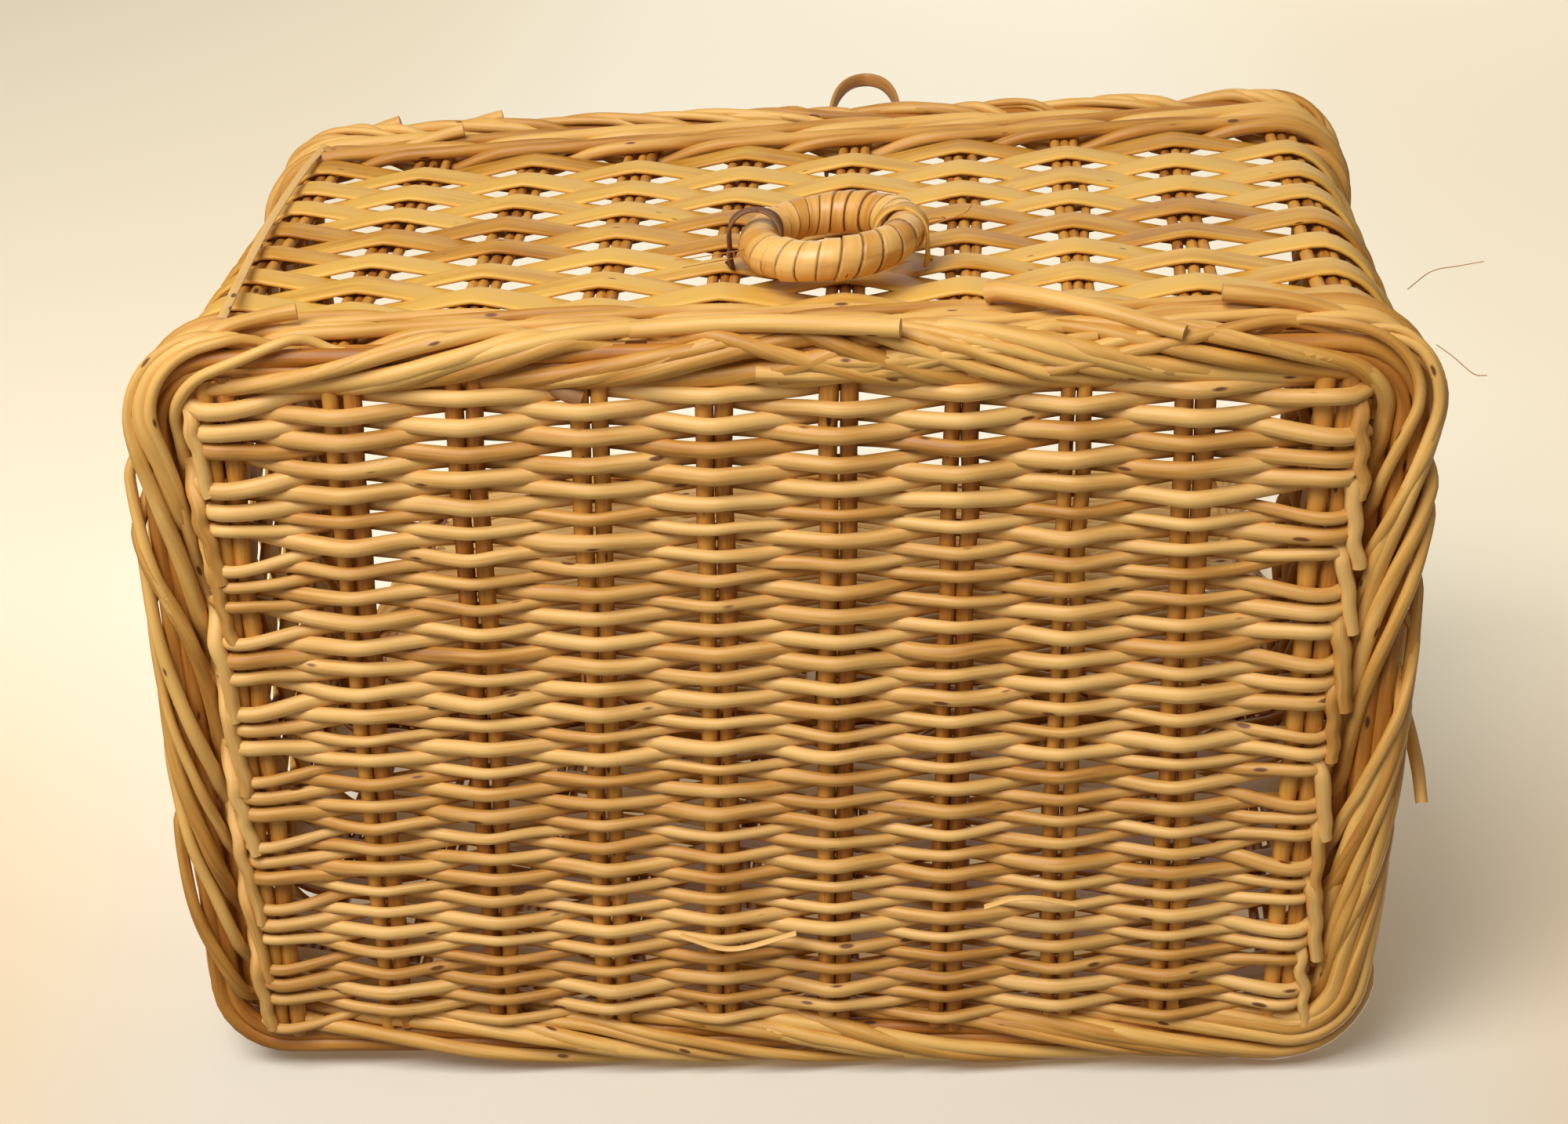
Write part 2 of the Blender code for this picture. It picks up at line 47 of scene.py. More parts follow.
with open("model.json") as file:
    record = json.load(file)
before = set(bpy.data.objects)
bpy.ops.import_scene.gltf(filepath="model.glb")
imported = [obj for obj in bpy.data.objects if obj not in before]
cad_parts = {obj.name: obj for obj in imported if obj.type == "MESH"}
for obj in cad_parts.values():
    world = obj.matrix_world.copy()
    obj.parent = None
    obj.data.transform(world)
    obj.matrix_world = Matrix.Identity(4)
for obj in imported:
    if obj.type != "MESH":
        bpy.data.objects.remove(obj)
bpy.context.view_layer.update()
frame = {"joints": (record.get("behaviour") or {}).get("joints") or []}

MM = 0.001

# What the frame gives: outline, heights and axes
HALF_WIDTH, HALF_DEPTH, FOOT_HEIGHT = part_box("foot_border")[1]
RIM_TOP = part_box("stakes_and_rim_border")[1][2]
STRIPS_LOW, STRIPS_HIGH = [corner[2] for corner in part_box("wall_weave")]
RIM_WALE_LOW, RIM_WALE_HIGH = [corner[2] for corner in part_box("rim_wale")]
JOINTS = {joint["name"]: joint for joint in frame["joints"]}
HINGE = np.array(JOINTS["lid_hinge"]["pos_m"])
LID_FOLD = math.radians(JOINTS["lid_hinge"]["range_deg"][1])
RING_MIDDLE = np.array(JOINTS["ring_swing"]["pos_m"])
PEG_LOOP_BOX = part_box("peg_loop")
RING_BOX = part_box("pull_ring")
HINGE_LOOP_BOXES = [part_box(f"hinge_loop_{place}") for place in ("left", "middle", "right")]
STAPLE_BOXES = [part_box(f"ring_staple_{place}") for place in ("left", "right")]

# Sizes that several parts share; an inset is measured inwards from the outline
CORNER_RADIUS = 30 * MM
WALL_MIDDLE_INSET = 8 * MM
ROLL_INSET = 8.5 * MM
STAKE_COUNT = 32
WALE_BANDS = 2
BASE_PAIR_COUNT = 10
BASE_PAIR_PITCH = 35.6 * MM
BASE_MIDDLE = 6.9 * MM
LID_PAIR_COUNT = 7
LID_PAIR_PITCH = 48 * MM
DOWN = np.array((0.0, 0.0, -1.0))
# A rod of tone 1 has its pattern moved along by this many metres, so that no two rods look alike
PATTERN_SHIFT = 7.3

# Flat runs and corner arcs of the outline, from the middle of the front side and round to the right
FLAT_X = HALF_WIDTH - CORNER_RADIUS
FLAT_Y = HALF_DEPTH - CORNER_RADIUS
CORNER_ARC = (CORNER_RADIUS - WALL_MIDDLE_INSET) * math.pi / 2
RUNS = (FLAT_X, CORNER_ARC, 2 * FLAT_Y, CORNER_ARC, 2 * FLAT_X, CORNER_ARC, 2 * FLAT_Y, CORNER_ARC, FLAT_X)
STOPS = np.concatenate([[0.0], np.cumsum(RUNS)])
OUTLINE_LENGTH = STOPS[-1]


def unit(vectors):
    """Vectors divided by their lengths."""
    return vectors / np.maximum(np.linalg.norm(vectors, axis=-1, keepdims=True), 1e-12)


def smooth(values, low, high):
    """0 below low, 1 above high, and a smooth step between."""
    share = np.clip((values - low) / (high - low), 0, 1)
    return share * share * (3 - 2 * share)


def wander(rng, strands, along, waves, size):
    """A slow random wave for each strand: five sines of growing count with random phases."""
    counts = np.arange(1, 6)[:, None, None] * waves
    phases = rng.uniform(0, 2 * math.pi, (5, strands, 1))
    weights = rng.uniform(-1, 1, (5, strands, 1))
    return size * (weights * np.sin(2 * math.pi * counts * along + phases)).sum(0) / 1.6


def each_strand(strands, first, last, steps):
    """Evenly spaced values from first to last, in one row for each strand."""
    return np.linspace(first, last, steps)[None, :] + np.zeros((strands, 1))


def by_turns(count):
    """1 and -1 by turns, in one row each."""
    return np.where(np.arange(count) % 2 == 0, 1.0, -1.0)[:, None]


def rounded_wave(count):
    """A triangle wave with rounded peaks, 1 at even counts and -1 at odd ones.

    It is the arcsine of a cosine that is slightly smaller than one.
    """
    return np.arcsin(0.985 * np.cos(math.pi * count)) / math.asin(0.985)


# How far each corner has moved, to the right and back: front left, front right, back left, back right
FOOT_SET = np.array(((0, 0), (4, 0), (-1, 0), (-10, -3))) * MM
RIM_SET = np.array(((0, 6.5), (3, -1), (0, 0), (0, 0))) * MM
# Where the base sticks lean to the left, how wide that place is, and how far they lean at the front
LEAN_PLACE = 118 * MM
LEAN_WIDTH = 45 * MM
LEAN = 8 * MM


def settle(points):
    """The slight set that the basket has taken with use, as a smooth shift of every point.

    Between the corners the shift is bilinear, and from the foot to the rim it is linear. Base sticks
    right of the middle also lean a little to the left towards the front.
    """
    x, y, z = points[..., 0], points[..., 1], points[..., 2]
    right = np.clip(x / (2 * HALF_WIDTH) + 0.5, 0, 1)
    back = np.clip(y / (2 * HALF_DEPTH) + 0.5, 0, 1)
    rise = np.clip(z / RIM_TOP, 0, 1)[..., None]
    corners = ((1 - right) * (1 - back), right * (1 - back), (1 - right) * back, right * back)
    weights = np.stack(corners, -1)
    shifted = points.copy()
    shifted[..., :2] += (weights @ FOOT_SET) * (1 - rise) + (weights @ RIM_SET) * rise
    lean = np.exp(-(((x - LEAN_PLACE) / LEAN_WIDTH) ** 2)) * (1 - back) * (1 - rise[..., 0])
    shifted[..., 0] -= LEAN * lean
    return shifted


def outline_at(share):
    """Core point and outward normal at a share of the way round.

    The core runs along the sides of the rectangle of corner centres, and the normal turns through a right
    angle at each of its corners.
    """
    along = (share % 1.0) * OUTLINE_LENGTH
    turn = np.radians(np.interp(along, STOPS, (0, 0, 90, 90, 180, 180, 270, 270, 360, 360)))
    core_x = np.interp(along, STOPS, np.array((0, 1, 1, 1, 1, -1, -1, -1, -1, 0)) * FLAT_X)
    core_y = np.interp(along, STOPS, np.array((-1, -1, -1, 1, 1, 1, 1, -1, -1, -1)) * FLAT_Y)
    return np.stack([core_x, core_y], -1), np.stack([np.sin(turn), -np.cos(turn)], -1)


def on_wall(share, inset, height):
    """Points at a share round the wall, an inset in from its outline and a height, and their normals."""
    share, inset, height = np.broadcast_arrays(share, inset, height)
    core, normal = outline_at(share)
    flat = core + (CORNER_RADIUS - inset)[..., None] * normal
    points = np.concatenate([flat, height[..., None]], -1)
    return points, np.concatenate([normal, np.zeros_like(height)[..., None]], -1)


def share_on_right(y):
    """The share round the outline of a place on the right side."""
    return (FLAT_X + CORNER_ARC + y + FLAT_Y) / OUTLINE_LENGTH


def share_on_left(y):
    """The share round the outline of a place on the left side."""
    return (3 * FLAT_X + 3 * CORNER_ARC + 2 * FLAT_Y + FLAT_Y - y) / OUTLINE_LENGTH


def share_on_back(x):
    """The share round the outline of a place on the back side."""
    return (FLAT_X + 2 * CORNER_ARC + 2 * FLAT_Y + FLAT_X - x) / OUTLINE_LENGTH


def share_on_front(x):
    """The share round the outline of a place on the front side."""
    return (x / OUTLINE_LENGTH) % 1.0


def signed_power(values, power):
    """Each value's size raised to a power, with its sign kept."""
    return np.sign(values) * np.abs(values) ** power


def sweep(centres, outward, wide, thick, tones, sides=8, squareness=1.0, ring=False):
    """Rods or strips carried along their middle lines.

    Each section is a superellipse square to the line: half width times cos to the power squareness across,
    and half thickness times sin to that power outwards. Both ends are closed by a flat cut face. The points
    also carry their place in the straightened rod, the rod's tone, and whether they lie on a cut face.
    """
    strands, steps, _ = centres.shape
    if ring:
        body = centres[:, :-1]
        tangent = np.roll(body, -1, 1) - np.roll(body, 1, 1)
        tangent = np.concatenate([tangent, tangent[:, :1]], 1)
    else:
        tangent = np.gradient(centres, axis=1)
    tangent = unit(tangent)
    across = unit(np.cross(tangent, outward))
    out = np.cross(across, tangent)
    turn = np.arange(sides) / sides * 2 * math.pi
    wide = np.broadcast_to(wide, (strands, steps))[..., None] * signed_power(np.cos(turn), squareness)
    thick = np.broadcast_to(thick, (strands, steps))[..., None] * signed_power(np.sin(turn), squareness)
    points = centres[:, :, None] + across[:, :, None] * wide[..., None] + out[:, :, None] * thick[..., None]
    step_lengths = np.linalg.norm(np.diff(centres, axis=1), axis=-1)
    along = np.concatenate([np.zeros((strands, 1)), np.cumsum(step_lengths, 1)], 1)
    seeds = np.asarray(tones)[:, None] * PATTERN_SHIFT
    place = np.stack([np.broadcast_to((along + seeds)[..., None], wide.shape), wide, thick], -1)
    tone = np.broadcast_to(np.asarray(tones)[:, None, None], wide.shape)

    index = np.arange(strands * steps * sides).reshape(strands, steps, sides)
    nxt = np.roll(index, -1, 2)
    quads = np.stack([index[:, :-1], index[:, 1:], nxt[:, 1:], nxt[:, :-1]], -1).reshape(-1, 4)
    first = index.size + np.arange(strands * sides).reshape(strands, sides)
    last = first + strands * sides
    caps = np.concatenate([first, last[:, ::-1]])
    ends = np.concatenate([points[:, 0].reshape(-1, 3), points[:, -1].reshape(-1, 3)])
    end_place = np.concatenate([place[:, 0].reshape(-1, 3), place[:, -1].reshape(-1, 3)])
    end_tone = np.concatenate([tone[:, 0].ravel(), tone[:, -1].ravel()])
    return {
        "points": np.concatenate([points.reshape(-1, 3), ends]),
        "place": np.concatenate([place.reshape(-1, 3), end_place]),
        "tone": np.concatenate([tone.ravel(), end_tone]),
        "cut": np.concatenate([np.zeros(index.size), np.ones(2 * strands * sides)]),
        "faces": [quads, caps],
    }


def moved(part, mover):
    """The part with a function applied to its points."""
    return {**part, "points": mover(part["points"])}


def fold_back(points):
    """Closed-lid points turned about the hinge axis to where the lid lies folded open."""
    cos, sin = math.cos(-LID_FOLD), math.sin(-LID_FOLD)
    local = points - HINGE
    turned = np.stack(
        [local[:, 0], cos * local[:, 1] - sin * local[:, 2], sin * local[:, 1] + cos * local[:, 2]], -1
    )
    return turned + HINGE


# What every point carries for the finishes: name, type and field
POINT_VALUES = (("place", "FLOAT_VECTOR", "vector"), ("tone", "FLOAT", "value"), ("cut", "FLOAT", "value"))
FINISH = {}


def put_piece(name, parts, finish, body, *stands_for):
    """Joins swept parts into one object, gives it its finish and hangs it on a body of the frame."""
    points = np.concatenate([part["points"] for part in parts])
    loops, sizes, soft = [], [], []
    offset = 0
    for part in parts:
        for group, faces in enumerate(part["faces"]):
            loops.append((faces + offset).ravel())
            sizes.append(np.full(len(faces), faces.shape[1]))
            soft.append(np.full(len(faces), group == 0))
        offset += len(part["points"])
    loops, sizes = np.concatenate(loops), np.concatenate(sizes)
    mesh = bpy.data.meshes.new(name)
    mesh.vertices.add(len(points))
    mesh.vertices.foreach_set("co", points.ravel())
    mesh.loops.add(len(loops))
    mesh.loops.foreach_set("vertex_index", loops)
    mesh.polygons.add(len(sizes))
    mesh.polygons.foreach_set("loop_start", np.concatenate([[0], np.cumsum(sizes)[:-1]]))
    mesh.update(calc_edges=True)
    mesh.polygons.foreach_set("use_smooth", np.concatenate(soft))
    for key, kind, field in POINT_VALUES:
        values = np.concatenate([part[key] for part in parts])
        mesh.attributes.new(key, kind, "POINT").data.foreach_set(field, values.ravel())
    mesh.materials.append(FINISH[finish])
    piece = bpy.data.objects.new(name, mesh)
    bpy.context.scene.collection.objects.link(piece)
    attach(piece, body)
    if stands_for:
        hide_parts(*stands_for)


def put_settled(name, part, finish, *stands_for):
    """Puts a part of the base, borders or walls in place, with the set that the basket has taken."""
    put_piece(name, [moved(part, settle)], finish, "basket", *stands_for)


def put_on_lid(name, part, finish, *stands_for):
    """Puts a part of the lid in place, folded open."""
    put_piece(name, [moved(part, fold_back)], finish, "lid", *stands_for)


def pair_names(panel, count):
    """Names of the frame's stick pairs in a panel."""
    return [f"{panel}_stick_pair_{number:02d}" for number in range(1, count + 1)]


# Finishes


def linear(code):
    """An sRGB hex colour as linear RGBA."""
    values = [int(code[i : i + 2], 16) / 255 for i in (1, 3, 5)]
    return tuple(v / 12.92 if v <= 0.04045 else ((v + 0.055) / 1.055) ** 2.4 for v in values) + (1.0,)


# Sockets of a Mix node that mixes colours
FACTOR = 0
COLOUR_A = 6
COLOUR_B = 7
MIXED = 2


def add_node(tree, kind, inputs=(), **settings):
    """Adds a node with its settings and links.

    An input given as a socket is linked to it, one given as a node is linked to its first output, and any
    other is set.
    """
    node = tree.nodes.new(kind)
    for key, value in settings.items():
        setattr(node, key, value)
    for socket, value in inputs:
        if isinstance(value, bpy.types.Node):
            value = value.outputs[0]
        if isinstance(value, bpy.types.NodeSocket):
            tree.links.new(value, node.inputs[socket])
        else:
            node.inputs[socket].default_value = value
    return node


def set_ramp(ramp, stops):
    """Gives a colour ramp its (position, colour) stops."""
    elements = ramp.color_ramp.elements
    while len(elements) < len(stops):
        elements.new(1.0)
    for element, (position, colour) in zip(elements, stops):
        element.position = position
        element.color = colour


def plant_finish(name, colours, roughness, streaks, knot_size, bump_mm):
    """Dry peeled plant stem: streaks along the rod, slow patches, small knots and cut ends.

    colours are dark, middle, pale, knot and cut-end hex codes, streaks is how many there are in a metre
    across the rod, knot_size is a share of a knot's cell, and bump_mm is how high the streaks stand. The
    wrapped ring takes the cut-end colour as painted shade in the grooves between its turns.
    """
    dark, middle, pale, knot, cut = [linear(code) for code in colours.split()]
    finish = bpy.data.materials.new(name)
    finish.use_nodes = True
    tree = finish.node_tree
    shader = tree.nodes["Principled BSDF"]
    place, tone, cut_ends_and_groove_shade = [
        add_node(tree, "ShaderNodeAttribute", attribute_name=key).outputs[output]
        for key, output in (("place", "Vector"), ("tone", "Fac"), ("cut", "Fac"))
    ]
    # Streaks are about 25 mm long and 1 to 2.5 mm wide with finer ones in them, and patches about 45 mm long
    patterns = []
    for stretch, detail in (((40.0, streaks, streaks), 3.0), ((22.0, 90.0, 90.0), 2.0)):
        spot = add_node(tree, "ShaderNodeVectorMath", ((0, place), (1, stretch)), operation="MULTIPLY")
        noise = (("Vector", spot), ("Scale", 1.0), ("Detail", detail))
        patterns.append(add_node(tree, "ShaderNodeTexNoise", noise))
    streak, patch = patterns
    # The rod's tone, the patches and the streaks add up to a place on the colour ramp
    mixed = 0.0
    for part, weight in ((tone, 0.45), (patch, 0.75), (streak, 0.55)):
        weighted = ((0, part), (1, weight), (2, mixed))
        mixed = add_node(tree, "ShaderNodeMath", weighted, operation="MULTIPLY_ADD")
    ramp = add_node(tree, "ShaderNodeValToRGB", (("Fac", mixed),))
    set_ramp(ramp, ((0.36, dark), (0.68, middle), (1.0, pale)))
    # Knots where buds sat: specks about 3 mm long and 1 mm wide, some 40 mm apart
    stretch = (60.0, 190.0, 190.0)
    spot = add_node(tree, "ShaderNodeVectorMath", ((0, place), (1, stretch)), operation="MULTIPLY")
    cells = add_node(tree, "ShaderNodeTexVoronoi", (("Vector", spot), ("Scale", 1.0)))
    fade = (("Value", cells), ("From Min", knot_size * 1.6), ("From Max", knot_size))
    speck = add_node(tree, "ShaderNodeMapRange", fade)
    chosen = add_node(tree, "ShaderNodeSeparateColor", (("Color", cells.outputs["Color"]),))
    some = add_node(tree, "ShaderNodeMath", ((0, chosen), (1, 0.62)), operation="GREATER_THAN")
    shown = add_node(tree, "ShaderNodeMath", ((0, speck), (1, some)), operation="MULTIPLY")
    tint = ramp.outputs["Color"]
    # Knot specks, then cut ends; on the wrapped ring the cut-end share is painted shade in the grooves
    for share, colour in ((shown, knot), (cut_ends_and_groove_shade, cut)):
        mix = ((FACTOR, share), (COLOUR_A, tint), (COLOUR_B, colour))
        tint = add_node(tree, "ShaderNodeMix", mix, data_type="RGBA").outputs[MIXED]
    span = (("Value", streak), ("To Min", roughness - 0.08), ("To Max", roughness + 0.12))
    gloss = add_node(tree, "ShaderNodeMapRange", span)
    height = (("Height", streak), ("Strength", 0.5), ("Distance", bump_mm * MM))
    bump = add_node(tree, "ShaderNodeBump", height)
    tree.links.new(tint, shader.inputs["Base Color"])
    tree.links.new(gloss.outputs[0], shader.inputs["Roughness"])
    tree.links.new(bump.outputs[0], shader.inputs["Normal"])
    shader.inputs["IOR"].default_value = 1.5
    return finish


# Name, colours, roughness, streaks in a metre, knot size and bump in mm
PLANT_FINISHES = {
    # Peeled willow: honey-coloured and satin, with small brown bud scars
    "rod": ("peeled_willow_satin", "#864A12 #C28836 #E0AE5C #70401A #C89C64", 0.5, 700.0, 0.09, 0.35),
    # The rods of the base and lid were cleaned less well, so they are more spotted
    "base": ("peeled_willow_spotted", "#884E16 #C38A3C #E2B266 #70401A #C89C64", 0.5, 700.0, 0.11, 0.35),
    # Sticks and stakes keep some of their brown inner bark
    "stick": ("willow_with_inner_bark", "#783E08 #AC6C20 #D0943C #4A2206 #6A4020", 0.5, 700.0, 0.1, 0.4),
    # Flat split strips, stained golden by age, with a smooth face
    "strip": ("split_willow_golden", "#94580C #C68A28 #E0AE4C #6A3810 #C08A40", 0.48, 420.0, 0.06, 0.25),
    # Split cane: its outer skin is smooth and takes a soft shine. Its dark cut-end colour is painted shade
    # in the grooves of the wrapped ring
    "cane": ("split_cane_skin", "#9E6220 #CC8E3C #E6B464 #7A441A #3E1E08", 0.36, 500.0, 0.05, 0.2),
    # The peg loop is a darker cane, browned by handling
    "loop": ("split_cane_browned", "#8A5424 #AE7436 #C9914E #6A3C1A #A87844", 0.38, 500.0, 0.05, 0.2),
    # Strips of bark: brown, matt and fibrous
    "bark": ("bark_strip_matt", "#4A2C18 #6E4526 #93663C #341E10 #6E4526", 0.65, 900.0, 0.05, 0.5),
}


# The woven parts


def base_rows(rng, count):
    """Where the base weavers lie from front to back: a little looser towards the front."""
    front = -106
    depth = 212.5
    looseness = 0.08
    share = np.linspace(0, 1, count)
    spread = share * (1 + looseness) - looseness * share**2
    return (front + depth * spread + rng.uniform(-0.3, 0.3, count)) * MM


def panel_weavers(rng, rows, half_length, pair_count, pair_pitch, middle, swing, radius, group, samples=15):
    """Weavers of a flat panel, over and under its stick pairs by turns.

    The swing across the panel is a rounded triangle wave that peaks at each pair. Every second row starts
    on the other side, and a row's ends bend round the outer pair to meet its neighbours' ends. At both ends
    the rows draw together in groups, with the side stakes between them.
    """
    count = len(rows)
    outer = (pair_count - 1) / 2 * pair_pitch
    x = each_strand(count, -half_length, half_length, samples * pair_count + 1)
    parity = by_turns(count)
    wave = rounded_wave((x + outer) / pair_pitch)
    beyond = smooth(np.abs(x), outer + 0.12 * pair_pitch, half_length)
    end_side = np.where(x > 0, 1.0, -1.0)
    row_pitch = np.gradient(rows)[:, None]
    height = middle - parity * swing * wave * (1 - beyond * 0.85)
    height = height + wander(rng, count, x / half_length, 1.3, 0.35 * MM)
    y = rows[:, None] + end_side * parity * 0.35 * row_pitch * beyond
    # The groups on the right are half a group out of step with those on the left
    place_in_group = (np.arange(count)[:, None] + np.where(x > 0, group // 2, 0)) % group
    drawn = smooth(np.abs(x), outer - pair_pitch * 0.7, outer)
    y = y - 0.26 * (place_in_group - (group - 1) / 2) * row_pitch * drawn
    y = y + wander(rng, count, x / half_length, 1.1, 0.45 * MM)
    sizes = radius * rng.uniform(0.8, 1.16, (count, 1))
    sizes = sizes * (1 + wander(rng, count, x / half_length, 0.6, 0.07))
    centres = np.stack([x, y, height], -1)
    return sweep(centres, DOWN, sizes * 1.03, sizes * 0.97, rng.uniform(0, 1, count))


def stick_pairs(rng, count, pitch, half_length, middle, radius):
    """Round sticks in pairs, side by side, from front to back of a panel."""
    middles = (np.arange(count) - (count - 1) / 2) * pitch
    x = (middles[:, None] + np.array((-1, 1)) * radius * 1.06).ravel()[:, None]
    strands = len(x)
    y = each_strand(strands, -1, 1, 40) * (half_length + rng.uniform(-3, 1.5, (strands, 1)) * MM)
    sizes = radius * rng.uniform(0.88, 1.08, (strands, 1))
    sizes = sizes * (1 + wander(rng, strands, y / half_length, 0.7, 0.03))
    x = x + wander(rng, strands, y / half_length, 0.5, 0.5 * MM)
    z = middle + wander(rng, strands, y / half_length, 0.5, 0.25 * MM)
    return sweep(np.stack([x, y, z], -1), DOWN, sizes, sizes, rng.uniform(0, 1, strands), sides=10)


def rolled_rods(rng, starts, spans, middle, half_sizes, radius, turns, entry, lift=0.0):
    """Border rods: each leaves the inner side, winds round the roll as it runs, and tucks in outside.

    spans are the shares of the way round that the rods run, negative for the other way round. middle is the
    (inset, height) of the roll, half_sizes its half width and height, turns the first and last angle round
    it in degrees (0 points inwards and 90 down), entry the (inset, height) where each rod starts, and lift
    how far it stands off the roll.
    """
    strands = len(starts)
    t = each_strand(strands, 0, 1, 48)
    share = starts[:, None] + spans[:, None] * t
    sizes = radius * rng.uniform(0.76, 1.24, (strands, 1)) * (1.1 - 0.34 * t)
    first, last = np.radians(turns)
    lean = rng.uniform(-0.2, 0.2, (strands, 1))
    shift = rng.uniform(-0.16, 0.16, (strands, 1))
    angle = first + shift + (last - first) * (t + lean * np.sin(math.pi * t))
    tuck = 1 - 0.7 * smooth(t, 0.84, 1.0)
    off = np.reshape(lift, (-1, 1)) + rng.uniform(-0.7, 0.5, (strands, 1)) * MM
    reach_in = (half_sizes[0] - sizes + off) * tuck
    reach_up = (half_sizes[1] - sizes + off) * tuck
    inset = middle[0] + reach_in * np.cos(angle)
    height = middle[1] - reach_up * np.sin(angle)
    inside = 1 - smooth(t, 0.0, 0.14)
    inset = inset + (entry[0] - inset) * inside
    height = height + (entry[1] - height) * inside + wander(rng, strands, t, 0.7, 0.6 * MM)
    # Rods of the foot, which lie low, rest on the ground
    height = np.maximum(height, sizes * (middle[1] < 20 * MM))
    points, normal = on_wall(share, inset, height)
    roll_middle, _ = on_wall(share, np.full_like(inset, middle[0]), np.full_like(inset, middle[1]))
    outward = unit(points - roll_middle + normal * 0.1 * MM)
    return sweep(points, outward, sizes, sizes, rng.uniform(0, 1, strands))


def rolled_border(rng, count, span_range, height, radius, turns, entry):
    """A border rolled at a height: evenly spaced rods, and the filling that they wind round."""
    starts = (np.arange(count) + 0.5) / count
    spans = rng.uniform(*span_range, count)
    half_sizes = (ROLL_INSET, ROLL_INSET - 1.1 * MM)
    rods = rolled_rods(rng, starts, spans, (ROLL_INSET, height), half_sizes, radius, turns, entry)
    filling = round_ring(rng, (ROLL_INSET - 2 * MM, ROLL_INSET + 2 * MM), (height, height), 3 * MM)
    return rods, filling


def twined_rods(rng, low, high, radius):
    """Waling: in each band three rods pass in front of two stakes and behind one, in turn.

    With u counting stakes, rod j is drawn back by a smooth bump at every third stake, and rises by a sine
    from where it comes out to where it goes in, so that the band looks like a rope.
    """
    strands = WALE_BANDS * 3
    # The ends overlap a little at the back
    turn = each_strand(strands, 0, 1.012, STAKE_COUNT * 12)
    share = share_on_back(-150 * MM) + turn
    u = share * STAKE_COUNT - 0.5
    rod = np.tile(np.arange(3), WALE_BANDS)[:, None]
    band = np.repeat(np.arange(WALE_BANDS), 3)[:, None]
    x = ((u + rod + band) / 3) % 1.0
    behind = np.exp(-((np.minimum(x, 1 - x) / 0.15) ** 2))
    swing = 4.3 * MM
    sizes = radius * rng.uniform(0.86, 1.12, (strands, 1)) * (1 + wander(rng, strands, turn, 4, 0.06))
    inset = WALL_MIDDLE_INSET - swing * (1 - 2 * behind)
    pitch = (high - low) / WALE_BANDS
    height = low + pitch * (band + 0.5) - 0.3 * pitch * np.sin(2 * math.pi * x)
    height = height + wander(rng, strands, turn, 5, 0.4 * MM)
    points, normal = on_wall(share, inset, height)
    return sweep(points, normal, sizes, sizes, rng.uniform(0, 1, strands))


def wall_strips(rng, count):
    """Rows of flat strips, in front of and behind the stake bundles by turns.

    The swing is a rounded triangle wave of the stake count, turned round in every second row.
    """
    half_width = 6.5 * MM
    half_thickness = 1.0 * MM
    swing = 3.3 * MM
    turn = each_strand(count, 0, 1, STAKE_COUNT * 10 + 1)
    share = share_on_back(120 * MM) + turn
    inset = WALL_MIDDLE_INSET - by_turns(count) * swing * rounded_wave(share * STAKE_COUNT - 0.5)
    pitch = (STRIPS_HIGH - STRIPS_LOW) / count
    height = STRIPS_LOW + pitch * (np.arange(count)[:, None] + 0.5)
    height = height + wander(rng, count, turn, 3, 0.7 * MM)
    wide = half_width * rng.uniform(0.9, 1.1, (count, 1)) * (1 + wander(rng, count, turn, 5, 0.06))
    points, normal = on_wall(share, inset, height)
    tones = rng.uniform(0, 1, count)
    return sweep(points, normal, wide, half_thickness, tones, sides=16, squareness=0.55, ring=True)


def stake_rods(rng, low, high):
    """Three thin rods side by side at every stake place, upright, with a slight lean."""
    radius = 1.8 * MM
    places = (np.arange(STAKE_COUNT) + 0.5) / STAKE_COUNT
    offsets = np.array((-1, 0, 1)) * 3.7 * MM / OUTLINE_LENGTH
    share = (places[:, None] + offsets).ravel()[:, None]
    strands = len(share)
    t = each_strand(strands, 0, 1, 26)
    share = share + wander(rng, strands, t, 0.5, 0.9 * MM / OUTLINE_LENGTH)
    inset = WALL_MIDDLE_INSET + wander(rng, strands, t, 0.6, 0.3 * MM)
    sizes = radius * rng.uniform(0.88, 1.1, (strands, 1)) * (1.05 - 0.12 * t)
    points, normal = on_wall(share, inset, low + (high - low) * t)
    return sweep(points, normal, sizes, sizes, rng.uniform(0, 1, strands))


def round_ring(rng, insets, heights, radius):
    """Closed rods that run round inside a roll and fill it, joined at the back."""
    joint = 0.55
    share = joint + each_strand(len(insets), 0, 1, 241)
    points, normal = on_wall(share, np.array(insets)[:, None], np.array(heights)[:, None])
    return sweep(points, normal, radius, radius, rng.uniform(0, 0.3, len(insets)), ring=True)


def side_stake_ends(rng, each_side=9):
    """Short ends of the side stakes, which lie between the base weavers' ends and the border.

    Each comes up out of the weave, runs about 40 mm along the side and ends above the next one's root.
    """
    strands = 2 * each_side
    side = np.repeat((-1.0, 1.0), each_side)[:, None]
    middle = np.tile(np.linspace(-92, 92, each_side), 2)[:, None] * MM
    middle = middle + rng.uniform(-3, 3, (strands, 1)) * MM
    t = each_strand(strands, 0, 1, 24)
    y = middle + (t - 0.5) * rng.uniform(34, 44, (strands, 1)) * MM
    x = side * 166.5 * MM + (t - 0.5) * rng.uniform(3, 8, (strands, 1)) * MM
    x = x + rng.uniform(-1.2, 1.2, (strands, 1)) * MM + wander(rng, strands, t, 0.8, 0.6 * MM)
    z = 2.6 * MM + 8 * MM * (1 - smooth(t, 0, 0.4))
    radius = rng.uniform(2.0, 2.8, (strands, 1)) * MM * (1.05 - 0.2 * t)
    return sweep(np.stack([x, y, z], -1), DOWN, radius, radius, rng.uniform(0, 1, strands))


